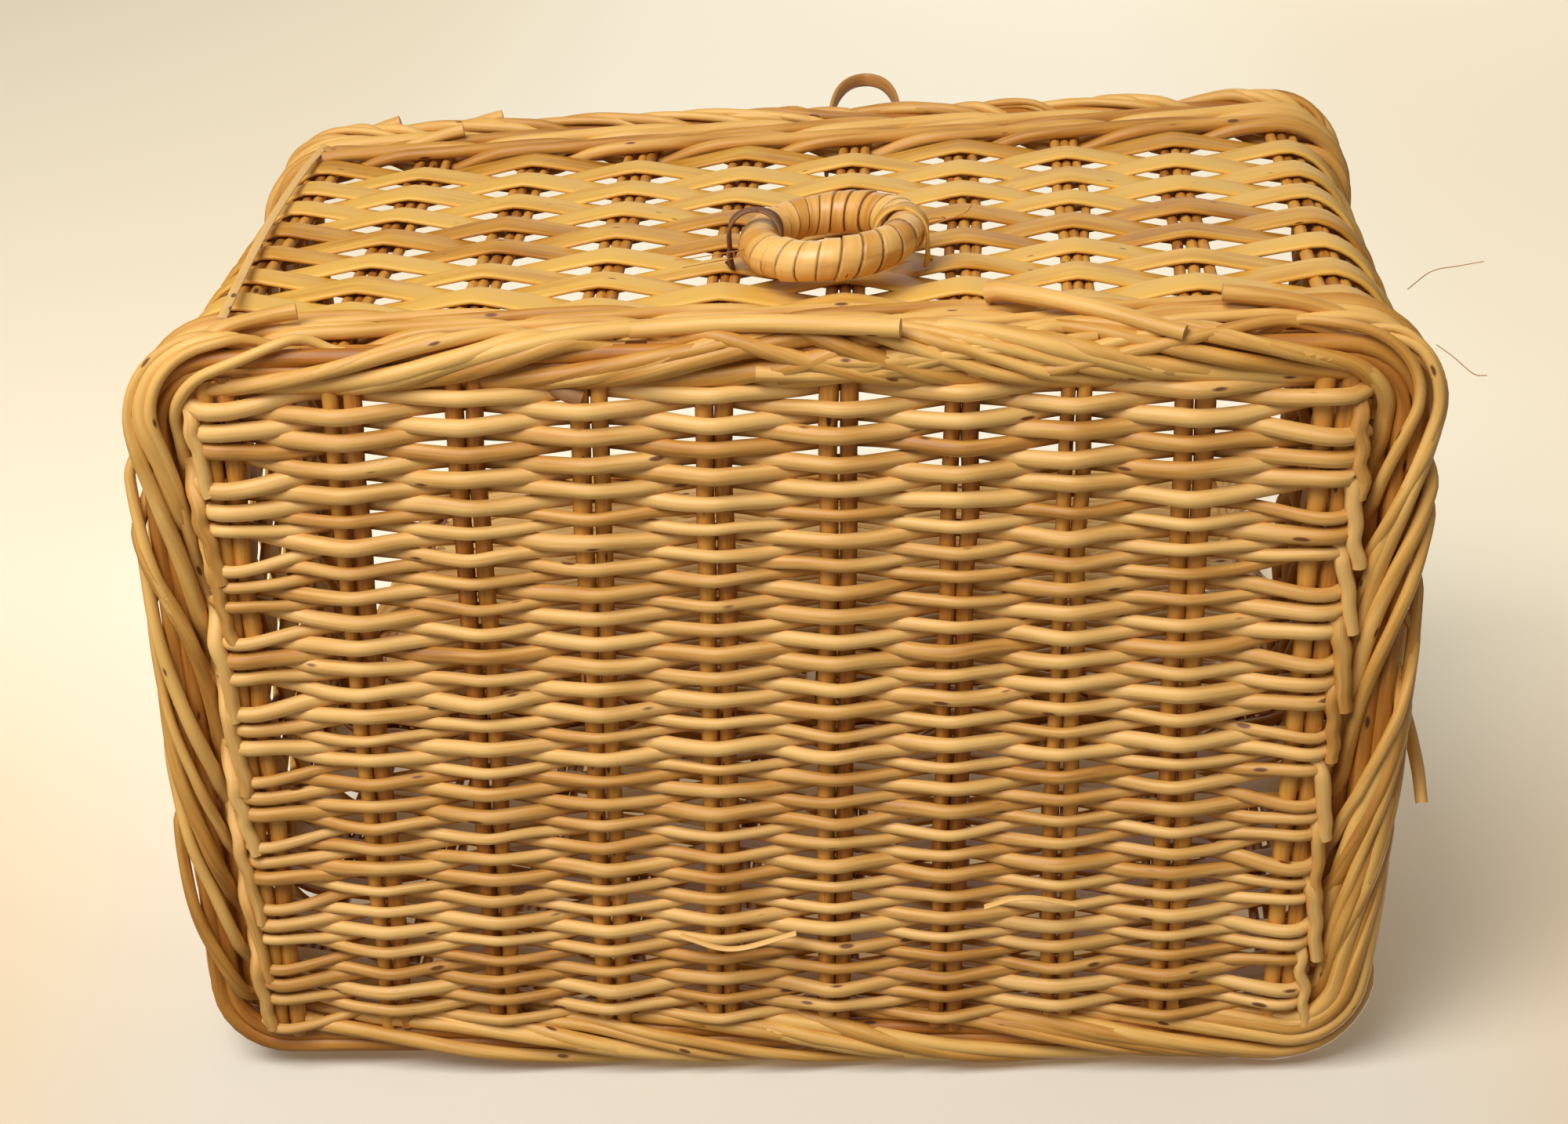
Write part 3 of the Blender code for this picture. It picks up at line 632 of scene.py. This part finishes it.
class WeaveSizes(bpy.types.PropertyGroup):
    """Sizes of the weave that a maker would choose."""

    base_rod: bpy.props.FloatProperty(
        name="Weaver radius", description="Radius of base and lid weavers", default=2.12 * MM, unit="LENGTH"
    )
    base_row_count: bpy.props.IntProperty(
        name="Base rows", description="Rows of weavers in the base", default=55, min=10, max=80
    )
    border_rod: bpy.props.FloatProperty(
        name="Border rod radius", description="Radius of the border rods", default=2.4 * MM, unit="LENGTH"
    )
    wale_rod: bpy.props.FloatProperty(
        name="Wale rod radius", description="Radius of the twined rods", default=2.35 * MM, unit="LENGTH"
    )
    strip_rows: bpy.props.IntProperty(
        name="Strip rows", description="Rows of flat strips in the walls", default=14, min=4, max=30
    )
    lid_row_count: bpy.props.IntProperty(
        name="Lid rows", description="Rows of weavers in the lid", default=56, min=10, max=80
    )


# Settings that every colour has
COLOUR = {"size": 4, "subtype": "COLOR"}


class StageColours(bpy.types.PropertyGroup):
    """Colours of the plain stage."""

    cream: bpy.props.FloatVectorProperty(
        name="Backdrop", description="Far part of the sheet", default=linear("#FFF6DF"), **COLOUR
    )
    # Painted warm reflection of the basket on the sheet beside it
    painted_warm_reflection: bpy.props.FloatVectorProperty(
        name="Edges", description="Warm sides of the sheet", default=linear("#EABE70"), **COLOUR
    )
    floor: bpy.props.FloatVectorProperty(
        name="Floor", description="Floor under the basket", default=linear("#F2EDE2"), **COLOUR
    )
    pale: bpy.props.FloatVectorProperty(
        name="Table", description="Near part of the sheet", default=linear("#DED6C8"), **COLOUR
    )


class BASKET_OT_finishes(bpy.types.Operator):
    """Makes the willow, cane and bark finishes"""

    bl_idname = "basket.finishes"
    bl_label = "Finishes"

    def execute(self, context):
        for key, values in PLANT_FINISHES.items():
            FINISH[key] = plant_finish(*values)
        return {"FINISHED"}


class BASKET_OT_base(bpy.types.Operator):
    """Weaves the base: stick pairs and round weavers"""

    bl_idname = "basket.base"
    bl_label = "Base"

    def execute(self, context):
        sizes = context.scene.weave_sizes
        rng = np.random.default_rng(11)
        rows = base_rows(rng, sizes.base_row_count)
        # The rods are thicker at the front than at the back
        radius = sizes.base_rod * np.linspace(1.16, 0.92, len(rows))[:, None]
        pairs = (BASE_PAIR_COUNT, BASE_PAIR_PITCH)
        weavers = panel_weavers(
            rng, rows, 168 * MM, *pairs, BASE_MIDDLE, swing=4.5 * MM, radius=radius, group=6
        )
        sticks = stick_pairs(rng, *pairs, half_length=113 * MM, middle=BASE_MIDDLE, radius=2.7 * MM)
        put_settled("base_weavers", weavers, "base", "base_weave")
        put_settled("base_sticks", sticks, "stick", *pair_names("base", BASE_PAIR_COUNT))
        return {"FINISHED"}


class BASKET_OT_foot(bpy.types.Operator):
    """Rolls the foot border round the edge of the base"""

    bl_idname = "basket.foot"
    bl_label = "Foot border"

    def execute(self, context):
        sizes = context.scene.weave_sizes
        rng = np.random.default_rng(23)
        side = np.linspace(-1, 1, 13) * 112 * MM
        # Where the rods of each stretch start, their way round, thickness, length and lift off the roll
        stretches = (
            (share_on_left(side), 1.0, 0.95, 1.0, 0.0),
            (share_on_front(np.linspace(-172, 22, 12) * MM), 1.0, 1.2, 1.1, 0.0),
            (share_on_front(np.linspace(88, 172, 7) * MM), -1.0, 1.1, 1.1, 1.0 * MM),
            (share_on_right(side), -1.0, 0.95, 1.0, 0.0),
            (share_on_back(np.linspace(-1, 1, 22) * 172 * MM), -1.0, 1.0, 1.5, 0.0),
        )
        places, *factors = zip(*stretches)
        counts = [len(place) for place in places]
        way, thickness, length, lift = [np.repeat(factor, counts) for factor in factors]
        starts = np.concatenate(places)
        rods = rolled_rods(
            rng,
            starts,
            spans=way * rng.uniform(0.075, 0.115, len(starts)) * length,
            middle=(9.6 * MM, 9.3 * MM),
            half_sizes=(9.8 * MM, 9.1 * MM),
            radius=sizes.border_rod * thickness[:, None],
            turns=(-20, 205),
            entry=(19 * MM, 12 * MM),
            lift=lift,
        )
        insets = np.array((8, 12, 9, 17.5)) * MM
        heights = np.array((7.5, 8, 13, 12)) * MM
        put_settled("foot_border_rods", rods, "rod", "foot_border")
        put_settled("foot_border_filling", round_ring(rng, insets, heights, 2.8 * MM), "stick")
        put_settled("side_stake_ends", side_stake_ends(rng), "base")
        return {"FINISHED"}


class BASKET_OT_walls(bpy.types.Operator):
    """Weaves the walls: stakes, twined rods and flat strips"""

    bl_idname = "basket.walls"
    bl_label = "Walls"

    def execute(self, context):
        sizes = context.scene.weave_sizes
        rng = np.random.default_rng(37)
        put_settled("stake_rods", stake_rods(rng, 12 * MM, RIM_TOP - 8 * MM), "stick")
        upsett = twined_rods(rng, FOOT_HEIGHT - 3 * MM, STRIPS_LOW, 2.1 * MM)
        put_settled("upsett_rods", upsett, "rod", "upsett_wale")
        put_settled("wall_strips", wall_strips(rng, sizes.strip_rows), "strip", "wall_weave")
        rim = twined_rods(rng, RIM_WALE_LOW, RIM_WALE_HIGH + 1 * MM, sizes.wale_rod)
        put_settled("rim_wale_rods", rim, "rod", "rim_wale")
        return {"FINISHED"}


class BASKET_OT_rim(bpy.types.Operator):
    """Rolls the rim border from the bent-over stake ends"""

    bl_idname = "basket.rim"
    bl_label = "Rim border"

    def execute(self, context):
        rods, filling = rolled_border(
            np.random.default_rng(41),
            count=3 * STAKE_COUNT,
            span_range=(0.08, 0.115),
            height=RIM_TOP - ROLL_INSET,
            radius=context.scene.weave_sizes.border_rod * 0.9,
            turns=(60, -250),
            entry=(WALL_MIDDLE_INSET, RIM_WALE_HIGH - 3 * MM),
        )
        put_settled("rim_border_rods", rods, "rod", "stakes_and_rim_border")
        put_settled("rim_border_filling", filling, "stick")
        return {"FINISHED"}


# The peg loop stands a little left of its solid's middle, with its legs in one upright plane
PEG_LOOP_MIDDLE = (PEG_LOOP_BOX[0][0] + PEG_LOOP_BOX[1][0]) / 2
PEG_LOOP_SHIFT = 1.6 * MM
PEG_LOOP_PLANE = -107.2 * MM


def part_for_loop(points):
    """Opens the lid's front edge round the peg loop: the weave bends inwards and the border outwards."""
    x, y, z = points.T
    middle = PEG_LOOP_MIDDLE - PEG_LOOP_SHIFT
    beside = np.exp(-((np.abs(x - middle) / (19 * MM)) ** 4))
    weave = smooth(y, -107.8 * MM, PEG_LOOP_PLANE)
    inner = smooth(y, -117 * MM, -110 * MM)
    push = weave * 6.5 * MM * smooth(-y, 80 * MM, 104 * MM) - (1 - weave) * 3.6 * MM * inner
    return np.stack([x, y + push * beside, z], -1)


class BASKET_OT_lid(bpy.types.Operator):
    """Weaves the lid and folds it open"""

    bl_idname = "basket.lid"
    bl_label = "Lid"

    def execute(self, context):
        sizes = context.scene.weave_sizes
        rng = np.random.default_rng(53)
        height = HINGE[2]
        rows = np.linspace(-104.5 * MM, 109 * MM, sizes.lid_row_count)
        pairs = (LID_PAIR_COUNT, LID_PAIR_PITCH)
        weavers = panel_weavers(
            rng, rows, 177 * MM, *pairs, height, swing=3.7 * MM, radius=sizes.base_rod, group=5, samples=21
        )
        sticks = stick_pairs(rng, *pairs, half_length=112 * MM, middle=height, radius=2.4 * MM)
        rods, filling = rolled_border(
            rng,
            count=84,
            span_range=(0.085, 0.11),
            height=height,
            radius=sizes.border_rod * 0.9,
            turns=(-10, -330),
            entry=(ROLL_INSET + 7 * MM, height),
        )
        put_on_lid("lid_weavers", moved(weavers, part_for_loop), "base", "lid_weave")
        put_on_lid("lid_sticks", sticks, "stick", *pair_names("lid", LID_PAIR_COUNT))
        put_on_lid("lid_border_rods", moved(rods, part_for_loop), "rod", "lid_border")
        put_on_lid("lid_border_filling", moved(filling, part_for_loop), "stick")
        return {"FINISHED"}


class BASKET_OT_ring(bpy.types.Operator):
    """Makes the wrapped ring on the front wall"""

    bl_idname = "basket.ring"
    bl_label = "Wrapped ring"

    def execute(self, context):
        ring = wrapped_ring(np.random.default_rng(61))
        put_piece("wrapped_ring", [ring], "cane", "ring", "pull_ring")
        return {"FINISHED"}


def wrapped_ring(rng, wraps=26, steps_each=28, around=32):
    """A torus wrapped with a flat strip.

    Going round the ring by angle a and round its tube by angle b, the strip's count is wraps times a plus b.
    Between two turns is a narrow groove, from which the tube's radius rises steeply as a square root, and
    each turn thins towards its far edge, where the next one overlaps it. The groove takes the finish's
    cut-end colour, dark brown in the cane finish, as painted shade. The ring leans a little outwards
    at its right end.
    """
    steps = wraps * steps_each
    outer = (RING_BOX[1][0] - RING_BOX[0][0]) / 2
    crown = (RING_BOX[1][1] - RING_BOX[0][1]) / 2
    groove = 1.0 * MM
    groove_share = 0.075
    circle = outer - crown
    a = np.arange(steps)[:, None] / steps * 2 * math.pi
    b = np.arange(around)[None, :] / around * 2 * math.pi
    count = (wraps * a + b + 0.9 * np.sin(3 * a) + 0.5 * np.sin(b + 5 * a)) / (2 * math.pi)
    within = count % 1.0
    lift = rng.uniform(-0.2, 0.4, wraps + 2)[np.floor(count).astype(int)] * MM
    flank = np.clip(np.minimum(within, 1 - within) / groove_share, 0, 1)
    profile = flank**0.5 * (1 - 0.3 * within)
    radius = crown - groove + (groove + lift) * profile
    out = circle + radius * np.cos(b)
    seat = np.array((1.2 * MM, 0.9 * MM, 0.0))
    x = out * np.cos(a)
    points = np.stack([x, radius * np.sin(b) - 0.085 * x, out * np.sin(a)], -1) + RING_MIDDLE + seat
    index = np.arange(steps * around).reshape(steps, around)
    below = np.roll(index, -1, 0)
    quads = np.stack([index, np.roll(index, -1, 1), np.roll(below, -1, 1), below], -1).reshape(-1, 4)
    tones = rng.uniform(0, 1, wraps + 2)[np.floor(count).astype(int)]
    # The strip runs round the tube, so its length is the tube's angle and its width the ring's
    place = np.stack([crown * b + tones * PATTERN_SHIFT, (within - 0.5) * 6 * MM, 0 * within], -1)
    return {
        "points": points.reshape(-1, 3),
        "place": place.reshape(-1, 3),
        "tone": tones.ravel(),
        # The grooves between turns are marked as cut, so the finish paints them its dark cut-end colour:
        # painted shade
        "cut": (1 - flank).ravel(),
        "faces": [quads, np.zeros((0, 4), int)],
    }


def curve_through(knots, steps):
    """Points along smooth curves through rows of knots (S, K, 3), as Catmull-Rom splines."""
    knots = np.asarray(knots, float)
    before = 2 * knots[:, :1] - knots[:, 1:2]
    after = 2 * knots[:, -1:] - knots[:, -2:-1]
    padded = np.concatenate([before, knots, after], 1)
    t = np.linspace(0, knots.shape[1] - 1 - 1e-9, steps)
    index = t.astype(int)
    u = (t - index)[:, None]
    a, b, c, d = (padded[:, index + k] for k in range(4))
    return 0.5 * (2 * b + (c - a) * u + (2 * a - 5 * b + 4 * c - d) * u**2 + (3 * b - a - 3 * c + d) * u**3)


class BASKET_OT_ties(bpy.types.Operator):
    """Ties the ring to the front wall with a strip of bark on the left and a split willow strip on the right
    """

    bl_idname = "basket.ties"
    bl_label = "Ring ties"

    def execute(self, context):
        rng = np.random.default_rng(67)
        for place, finish, (low, high) in zip(("left", "right"), ("bark", "strip"), STAPLE_BOXES):
            middle = (low[0] + high[0]) / 2
            reach = (high[0] - low[0]) / 2 - 1.2 * MM
            front, back = low[1] + 1.4 * MM, high[1]
            height = (low[2] + high[2]) / 2
            # The strip runs over the ring in half a turn, and its two legs run back into the wall
            turn = np.linspace(-0.5, 1.5, 48) * math.pi
            over = np.clip(turn, 0, math.pi)
            legs = np.clip(-turn, 0, 1) + np.clip(turn - math.pi, 0, 1)
            depth = front + reach * (1 - np.sin(over)) * 0.9 + legs * (back - front - reach)
            offset = np.array((-1.5, 1.4))[:, None]
            rise = height + offset * MM + 1.6 * MM * np.sin(2 * turn + offset)
            lines = np.stack(np.broadcast_arrays(middle + reach * np.cos(over), depth, rise), -1)
            outward = lines - np.array((middle, front + reach, height))
            outward[..., 2] = 0
            tones = rng.uniform(0, 1, 2)
            tie = sweep(lines, unit(outward), 1.9 * MM, 0.5 * MM, tones, sides=10, squareness=0.6)
            put_piece(f"ring_tie_{place}", [tie], finish, "basket", f"ring_staple_{place}")
        return {"FINISHED"}


class BASKET_OT_peg_loop(bpy.types.Operator):
    """Bends the cane loop on the front rim"""

    bl_idname = "basket.peg_loop"
    bl_label = "Peg loop"

    def execute(self, context):
        low, high = PEG_LOOP_BOX
        reach = (high[0] - low[0]) / 2 - 1 * MM
        arch = 24 * MM
        spring = high[2] + 8 * MM - arch
        turn = np.linspace(0, math.pi, 40)
        leg = np.linspace(low[2], spring, 24)[:-1]
        bend = -reach * signed_power(np.cos(turn), 1.2) - PEG_LOOP_SHIFT
        x = np.concatenate([np.full(len(leg), bend[0]), bend, np.full(len(leg), bend[-1])])
        z = np.concatenate([leg, spring + arch * np.sin(turn), leg[::-1]])
        # The arch leans forward, off the plane of the legs
        y = PEG_LOOP_PLANE - 9.5 * MM * smooth(z, spring - 8 * MM, spring + arch)
        path = np.stack([PEG_LOOP_MIDDLE + x, y, z], -1)[None]
        outward = np.stack([x + PEG_LOOP_SHIFT, 0 * x, np.maximum(z - spring, 0) * reach / arch], -1)[None]
        strip = sweep(path, unit(outward), 2.5 * MM, 0.8 * MM, [0.35], sides=12, squareness=0.6)
        put_piece("peg_loop_cane", [strip], "loop", "basket", "peg_loop")
        return {"FINISHED"}


class BASKET_OT_hinge_loops(bpy.types.Operator):
    """Bends the flat cane loops that hold the back of the lid to the rim"""

    bl_idname = "basket.hinge_loops"
    bl_label = "Hinge loops"

    def execute(self, context):
        rng = np.random.default_rng(71)
        turn = np.linspace(0, 2 * math.pi, 97)
        outward = np.stack([0 * turn, np.cos(turn), np.sin(turn)], -1)
        for place, (low, high) in zip(("left", "middle", "right"), HINGE_LOOP_BOXES):
            x, y, z = (np.array(low) + np.array(high)) / 2
            half_thickness = 0.8 * MM
            radius = (high[1] - low[1]) / 2 - half_thickness
            half_rise = (high[2] - low[2]) / 2 - half_thickness - radius
            offset = np.array((-2.1, 2.1))[:, None]
            across = x + offset * MM + 0.4 * MM * np.sin(turn * 2 + offset)
            rise = z + radius * np.sin(turn) + half_rise * np.clip(np.sin(turn) * 4, -1, 1)
            lines = np.stack(np.broadcast_arrays(across, y + radius * np.cos(turn), rise), -1)
            tones = rng.uniform(0, 1, 2)
            bands = sweep(lines, outward, 2.0 * MM, 0.7 * MM, tones, sides=10, squareness=0.6, ring=True)
            put_piece(f"hinge_loop_{place}_cane", [bands], "cane", "basket", f"hinge_loop_{place}")
        return {"FINISHED"}


# Loose ends that the weaving has left: places in mm along each rod, then its radii in mm at both ends
LOOSE_RODS = (
    (((-176, -112, 8), (-160, -124, 12), (-146, -126.5, 18), (-137, -127.5, 20)), 2.2, 2.5),
    (((168, -119, 20), (152, -125, 20), (138, -127.5, 20.5), (128, -128.5, 21)), 2.3, 2.7),
    (((-40, -124, 10), (-10, -127, 6), (18, -127.5, 2), (37, -127.5, -1)), 2.6, 2.9),
    (((62, -127.5, 27), (68, -128.5, 24), (90, -128, 12), (116, -124, 1)), 3.5, 2.4),
    (((-172, -107, 226), (-160, -114, 231), (-150, -117.5, 234), (-143, -119.5, 235)), 2.0, 2.4),
    (((-138, -112, 228), (-124, -116.5, 232), (-113, -119.5, 234), (-106, -121, 235)), 1.9, 2.3),
    (((-146, -112, 212), (-134, -118, 212), (-124, -121, 213), (-117, -122.5, 214)), 1.9, 2.3),
    (((184, 0, 34), (189, 12, 30), (192, 24, 20), (193, 34, 12)), 2.4, 1.9),
    (((-4, -113, 3), (20, -112.5, 2.6), (46, -114, 3), (78, -118, 4)), 2.5, 1.7),
    (((10, -117, 2.8), (34, -116.5, 2.2), (60, -119, 2.4), (92, -122, 5)), 2.4, 1.6),
)
# Thin flat slips of willow: places in mm, then half width and half thickness in mm
LOOSE_SLIPS = (
    (
        ((-166, -118, 214), (-167, -119.8, 178), (-166, -121.6, 120), (-163, -123.4, 68), (-158, -127, 16)),
        1.5,
        0.35,
    ),
    (((60, 62, -1.2), (72, 58, -2.4), (88, 61, -1.6)), 1.1, 0.3),
    (((-34, 72, -1.2), (-18, 76, -2.6), (2, 71, -1.6)), 1.1, 0.3),
)
# Fibres as fine as hair: places in mm
FIBRES = (
    ((188, -112, 66), (194, -119, 62), (201, -122, 58), (208, -124, 56)),
    ((189, -112, 20), (193, -110, 16), (198, -107, 10), (201, -108, 6)),
    ((40, -132, 70), (46, -136, 68), (50, -138, 62), (49, -140, 58)),
    ((42, -131, 74), (50, -134, 72), (56, -137, 70), (58, -140, 68)),
    ((-10, -130, 60), (-16, -131, 54), (-25, -131, 50), (-30, -130, 52)),
    ((-10, -131, 58), (-12, -131, 50), (-18, -132, 44), (-27, -131, 42)),
)
# Butts of base sticks, cut off beside the front border, given the dark bark finish as painted shade: places
# in mm
STICK_BUTTS = (
    ((-62, -108, 7), (-58, -106.8, 4.8), (-54, -105.4, 4.4)),
    ((-26, -107.5, 7), (-22, -106.4, 4.8), (-18, -105, 4.4)),
)


class BASKET_OT_loose_ends(bpy.types.Operator):
    """Adds cut rod ends, slips and fibres that stand out of the weave"""

    bl_idname = "basket.loose_ends"
    bl_label = "Loose ends"

    def execute(self, context):
        rng = np.random.default_rng(83)
        steps = 30
        lines = curve_through(np.array([rod[0] for rod in LOOSE_RODS]) * MM, steps)
        first, last = [np.array([rod[end] for rod in LOOSE_RODS])[:, None] * MM for end in (1, 2)]
        sizes = first + (last - first) * np.linspace(0, 1, steps)
        tones = rng.uniform(0.3, 0.9, len(lines))
        rods = sweep(lines, np.array((0.3, -0.8, -0.5)), sizes, sizes * 0.94, tones, sides=12)
        put_piece("loose_rods", [rods], "rod", "basket")
        slips = []
        for knots, wide, thick in LOOSE_SLIPS:
            line = curve_through(np.array([knots]) * MM, 40)
            tone = rng.uniform(0.8, 1.0, 1)
            outward = np.array((0.1, -0.9, -0.3))
            slips.append(sweep(line, outward, wide * MM, thick * MM, tone, sides=8, squareness=0.7))
        put_piece("loose_slips", slips, "base", "basket")
        lines = curve_through(np.array(FIBRES) * MM, 24)
        fine = 0.16 * MM
        tones = rng.uniform(0, 0.5, len(lines))
        fibres = sweep(lines, np.array((0.0, -0.9, -0.3)), fine, fine, tones, sides=5)
        put_piece("fibres", [fibres], "loop", "basket")
        lines = curve_through(np.array(STICK_BUTTS) * MM, 12)
        tones = rng.uniform(0.5, 1, len(lines))
        butts = sweep(lines, np.array((0.0, -0.3, -0.9)), 2.6 * MM, 2.0 * MM, tones, sides=9)
        # The dark bark finish on the butts is painted shade
        put_piece("stick_butts", [butts], "bark", "basket")
        return {"FINISHED"}


# Soft square lights: name, place, height aimed at, size in metres and power in watts
LIGHTS = (
    ("key_light", (-0.5, -1.35, -0.75), 0.1, 1.0, 29),
    ("fill_light", (-1.2, -0.3, -0.9), 0.1, 1.2, 3),
    ("top_light", (0.3, -0.6, 1.9), 0.2, 1.4, 5),
    ("back_light", (0.9, 1.5, 1.0), 0.2, 1.4, 12),
)
# The camera: place in metres, the way it looks, its right side, and its focal length in the photo's pixels
CAMERA_PLACE = (0.0444, -0.4076, -0.7405)
CAMERA_FORWARD = (-0.05143, 0.4291, 0.90182)
CAMERA_RIGHT = (0.99865, 0.03178, 0.0419)
FOCAL_PIXELS = 3610
PHOTO_WIDTH = 2000
SENSOR_WIDTH = 36.0


class BASKET_OT_stage(bpy.types.Operator):
    """Sets the sheet and floor, the soft lights, the world and the camera"""

    bl_idname = "basket.stage"
    bl_label = "Stage"

    def execute(self, context):
        colours = context.scene.stage_colours
        tints = (colours.pale, colours.cream, colours.painted_warm_reflection)
        sheet = one_sided_sheet("table_sheet", sheet_material("table_sheet_paper", *tints, 0.25))
        # It stands just behind the foot, and leans back by 20 mm in 480 mm
        lean = math.atan2(0.020, 0.48)
        touch = Matrix.Translation((0, HALF_DEPTH + 0.4 * MM, 0))
        sheet.matrix_world = touch @ Matrix.Rotation(math.pi / 2 - lean, 4, "X")
        floor = one_sided_sheet("floor", sheet_material("floor_paper", *[colours.floor] * 3, 0.0))
        for name, place, aim, size, power in LIGHTS:
            soft_light(name, Vector(place), Vector((0, 0, aim)), size, power)
        world = bpy.data.worlds.new("soft_room")
        world.use_nodes = True
        background = world.node_tree.nodes["Background"]
        background.inputs["Color"].default_value = linear("#FFFAF0")
        background.inputs["Strength"].default_value = 0.26
        context.scene.world = world
        set_camera(context.scene)
        context.scene.view_settings.view_transform = "Standard"
        return {"FINISHED"}


def one_sided_sheet(name, finish, half_size=3.0):
    """A square sheet whose face looks up before it is placed."""
    mesh = bpy.data.meshes.new(name)
    corners = [(x * half_size, y * half_size, 0) for x, y in ((-1, -1), (1, -1), (1, 1), (-1, 1))]
    mesh.from_pydata(corners, [], [(0, 1, 2, 3)])
    mesh.materials.append(finish)
    sheet = bpy.data.objects.new(name, mesh)
    bpy.context.scene.collection.objects.link(sheet)
    return sheet


def sheet_material(name, near_tint, far_tint, painted_reflection_tint, glow_strength):
    """Matt paper, seen only by the camera and only from its front.

    From behind it is clear, so the basket shows from every side and light passes as in an open room. Its
    tint runs from near to far along y and warms towards both sides, a painted warm reflection of the
    basket, and its far part glows softly, painted light that brightens it where the lamps fall off.
    """
    finish = bpy.data.materials.new(name)
    finish.use_nodes = True
    tree = finish.node_tree
    shader = tree.nodes["Principled BSDF"]
    shader.inputs["Roughness"].default_value = 0.9
    shader.inputs["Specular IOR Level"].default_value = 0.1
    shader.inputs["Emission Strength"].default_value = glow_strength
    where = add_node(tree, "ShaderNodeTexCoord").outputs["Object"]
    x, y, _ = add_node(tree, "ShaderNodeSeparateXYZ", ((0, where),)).outputs
    aside = add_node(tree, "ShaderNodeMath", ((0, x),), operation="ABSOLUTE")
    far, edge = [
        add_node(
            tree,
            "ShaderNodeMapRange",
            (("Value", value), ("From Min", low), ("From Max", high)),
            interpolation_type="SMOOTHSTEP",
        )
        for value, low, high in ((y, -0.15, 0.45), (aside, 0.15, 0.4))
    ]
    # The warm sides, a painted warm reflection of the basket, fade to a quarter in the far part
    fading = add_node(tree, "ShaderNodeMath", ((0, far), (1, -0.75), (2, 1.0)), operation="MULTIPLY_ADD")
    warm = add_node(tree, "ShaderNodeMath", ((0, edge), (1, fading)), operation="MULTIPLY")
    tints = []
    # The glow, black near and far_tint far, is painted light on the far part of the sheet
    for first in (near_tint, (0.0, 0.0, 0.0, 1.0)):
        mix = ((FACTOR, far), (COLOUR_A, first), (COLOUR_B, far_tint))
        tints.append(add_node(tree, "ShaderNodeMix", mix, data_type="RGBA").outputs[MIXED])
    tint, glow = tints
    mix = ((FACTOR, warm), (COLOUR_A, tint), (COLOUR_B, painted_reflection_tint))
    tint = add_node(tree, "ShaderNodeMix", mix, data_type="RGBA").outputs[MIXED]
    tree.links.new(tint, shader.inputs["Base Color"])
    tree.links.new(glow, shader.inputs["Emission Color"])
    seen = add_node(tree, "ShaderNodeLightPath").outputs["Is Camera Ray"]
    back = add_node(tree, "ShaderNodeNewGeometry").outputs["Backfacing"]
    front = add_node(tree, "ShaderNodeMath", ((0, 1.0), (1, back)), operation="SUBTRACT")
    shown = add_node(tree, "ShaderNodeMath", ((0, seen), (1, front)), operation="MULTIPLY")
    clear = add_node(tree, "ShaderNodeBsdfTransparent")
    mix = add_node(tree, "ShaderNodeMixShader", ((0, shown), (1, clear), (2, shader)))
    tree.links.new(mix.outputs[0], tree.nodes["Material Output"].inputs["Surface"])
    return finish


def soft_light(name, place, aim, size, power):
    """A large square area light that points at the basket."""
    light = bpy.data.lights.new(name, "AREA")
    light.size = size
    light.energy = power
    lamp = bpy.data.objects.new(name, light)
    bpy.context.scene.collection.objects.link(lamp)
    lamp.location = place
    lamp.rotation_euler = (aim - place).to_track_quat("-Z", "Y").to_euler()


def set_camera(scene):
    """Places the camera below and in front of the upright basket, where the photograph was taken from."""
    forward = Vector(CAMERA_FORWARD).normalized()
    right = Vector(CAMERA_RIGHT)
    right = (right - forward * right.dot(forward)).normalized()
    up = right.cross(forward)
    lens = bpy.data.cameras.new("photo_camera")
    lens.sensor_width = SENSOR_WIDTH
    lens.lens = SENSOR_WIDTH * FOCAL_PIXELS / PHOTO_WIDTH
    lens.clip_start = 0.01
    camera = bpy.data.objects.new("photo_camera", lens)
    scene.collection.objects.link(camera)
    turn = Matrix((right, up, -forward)).transposed().to_4x4()
    camera.matrix_world = Matrix.Translation(CAMERA_PLACE) @ turn
    scene.camera = camera


class BASKET_PT_panel(bpy.types.Panel):
    """Lists the steps of the basket"""

    bl_label = "Basket"
    bl_idname = "BASKET_PT_panel"
    bl_space_type = "VIEW_3D"
    bl_region_type = "UI"
    bl_category = "Basket"

    def draw(self, context):
        layout = self.layout
        for step in STEPS:
            layout.operator(step.bl_idname)
        for group in (context.scene.weave_sizes, context.scene.stage_colours):
            for key in group.bl_rna.properties.keys():
                if key not in ("rna_type", "name"):
                    layout.prop(group, key)


STEPS = (
    BASKET_OT_finishes,
    BASKET_OT_base,
    BASKET_OT_foot,
    BASKET_OT_walls,
    BASKET_OT_rim,
    BASKET_OT_lid,
    BASKET_OT_ring,
    BASKET_OT_ties,
    BASKET_OT_peg_loop,
    BASKET_OT_hinge_loops,
    BASKET_OT_loose_ends,
    BASKET_OT_stage,
)
GROUPS = (WeaveSizes, StageColours)


def register():
    """Registers the groups, the steps and the panel."""
    for item in GROUPS + STEPS + (BASKET_PT_panel,):
        bpy.utils.register_class(item)
    bpy.types.Scene.weave_sizes = bpy.props.PointerProperty(type=WeaveSizes)
    bpy.types.Scene.stage_colours = bpy.props.PointerProperty(type=StageColours)


def unregister():
    """Takes the groups, the steps and the panel out again."""
    del bpy.types.Scene.stage_colours
    del bpy.types.Scene.weave_sizes
    for item in reversed(GROUPS + STEPS + (BASKET_PT_panel,)):
        bpy.utils.unregister_class(item)


def main():
    """Runs every step in order."""
    register()
    for step in STEPS:
        group, action = step.bl_idname.split(".")
        getattr(getattr(bpy.ops, group), action)()


if __name__ == "__main__":
    main()
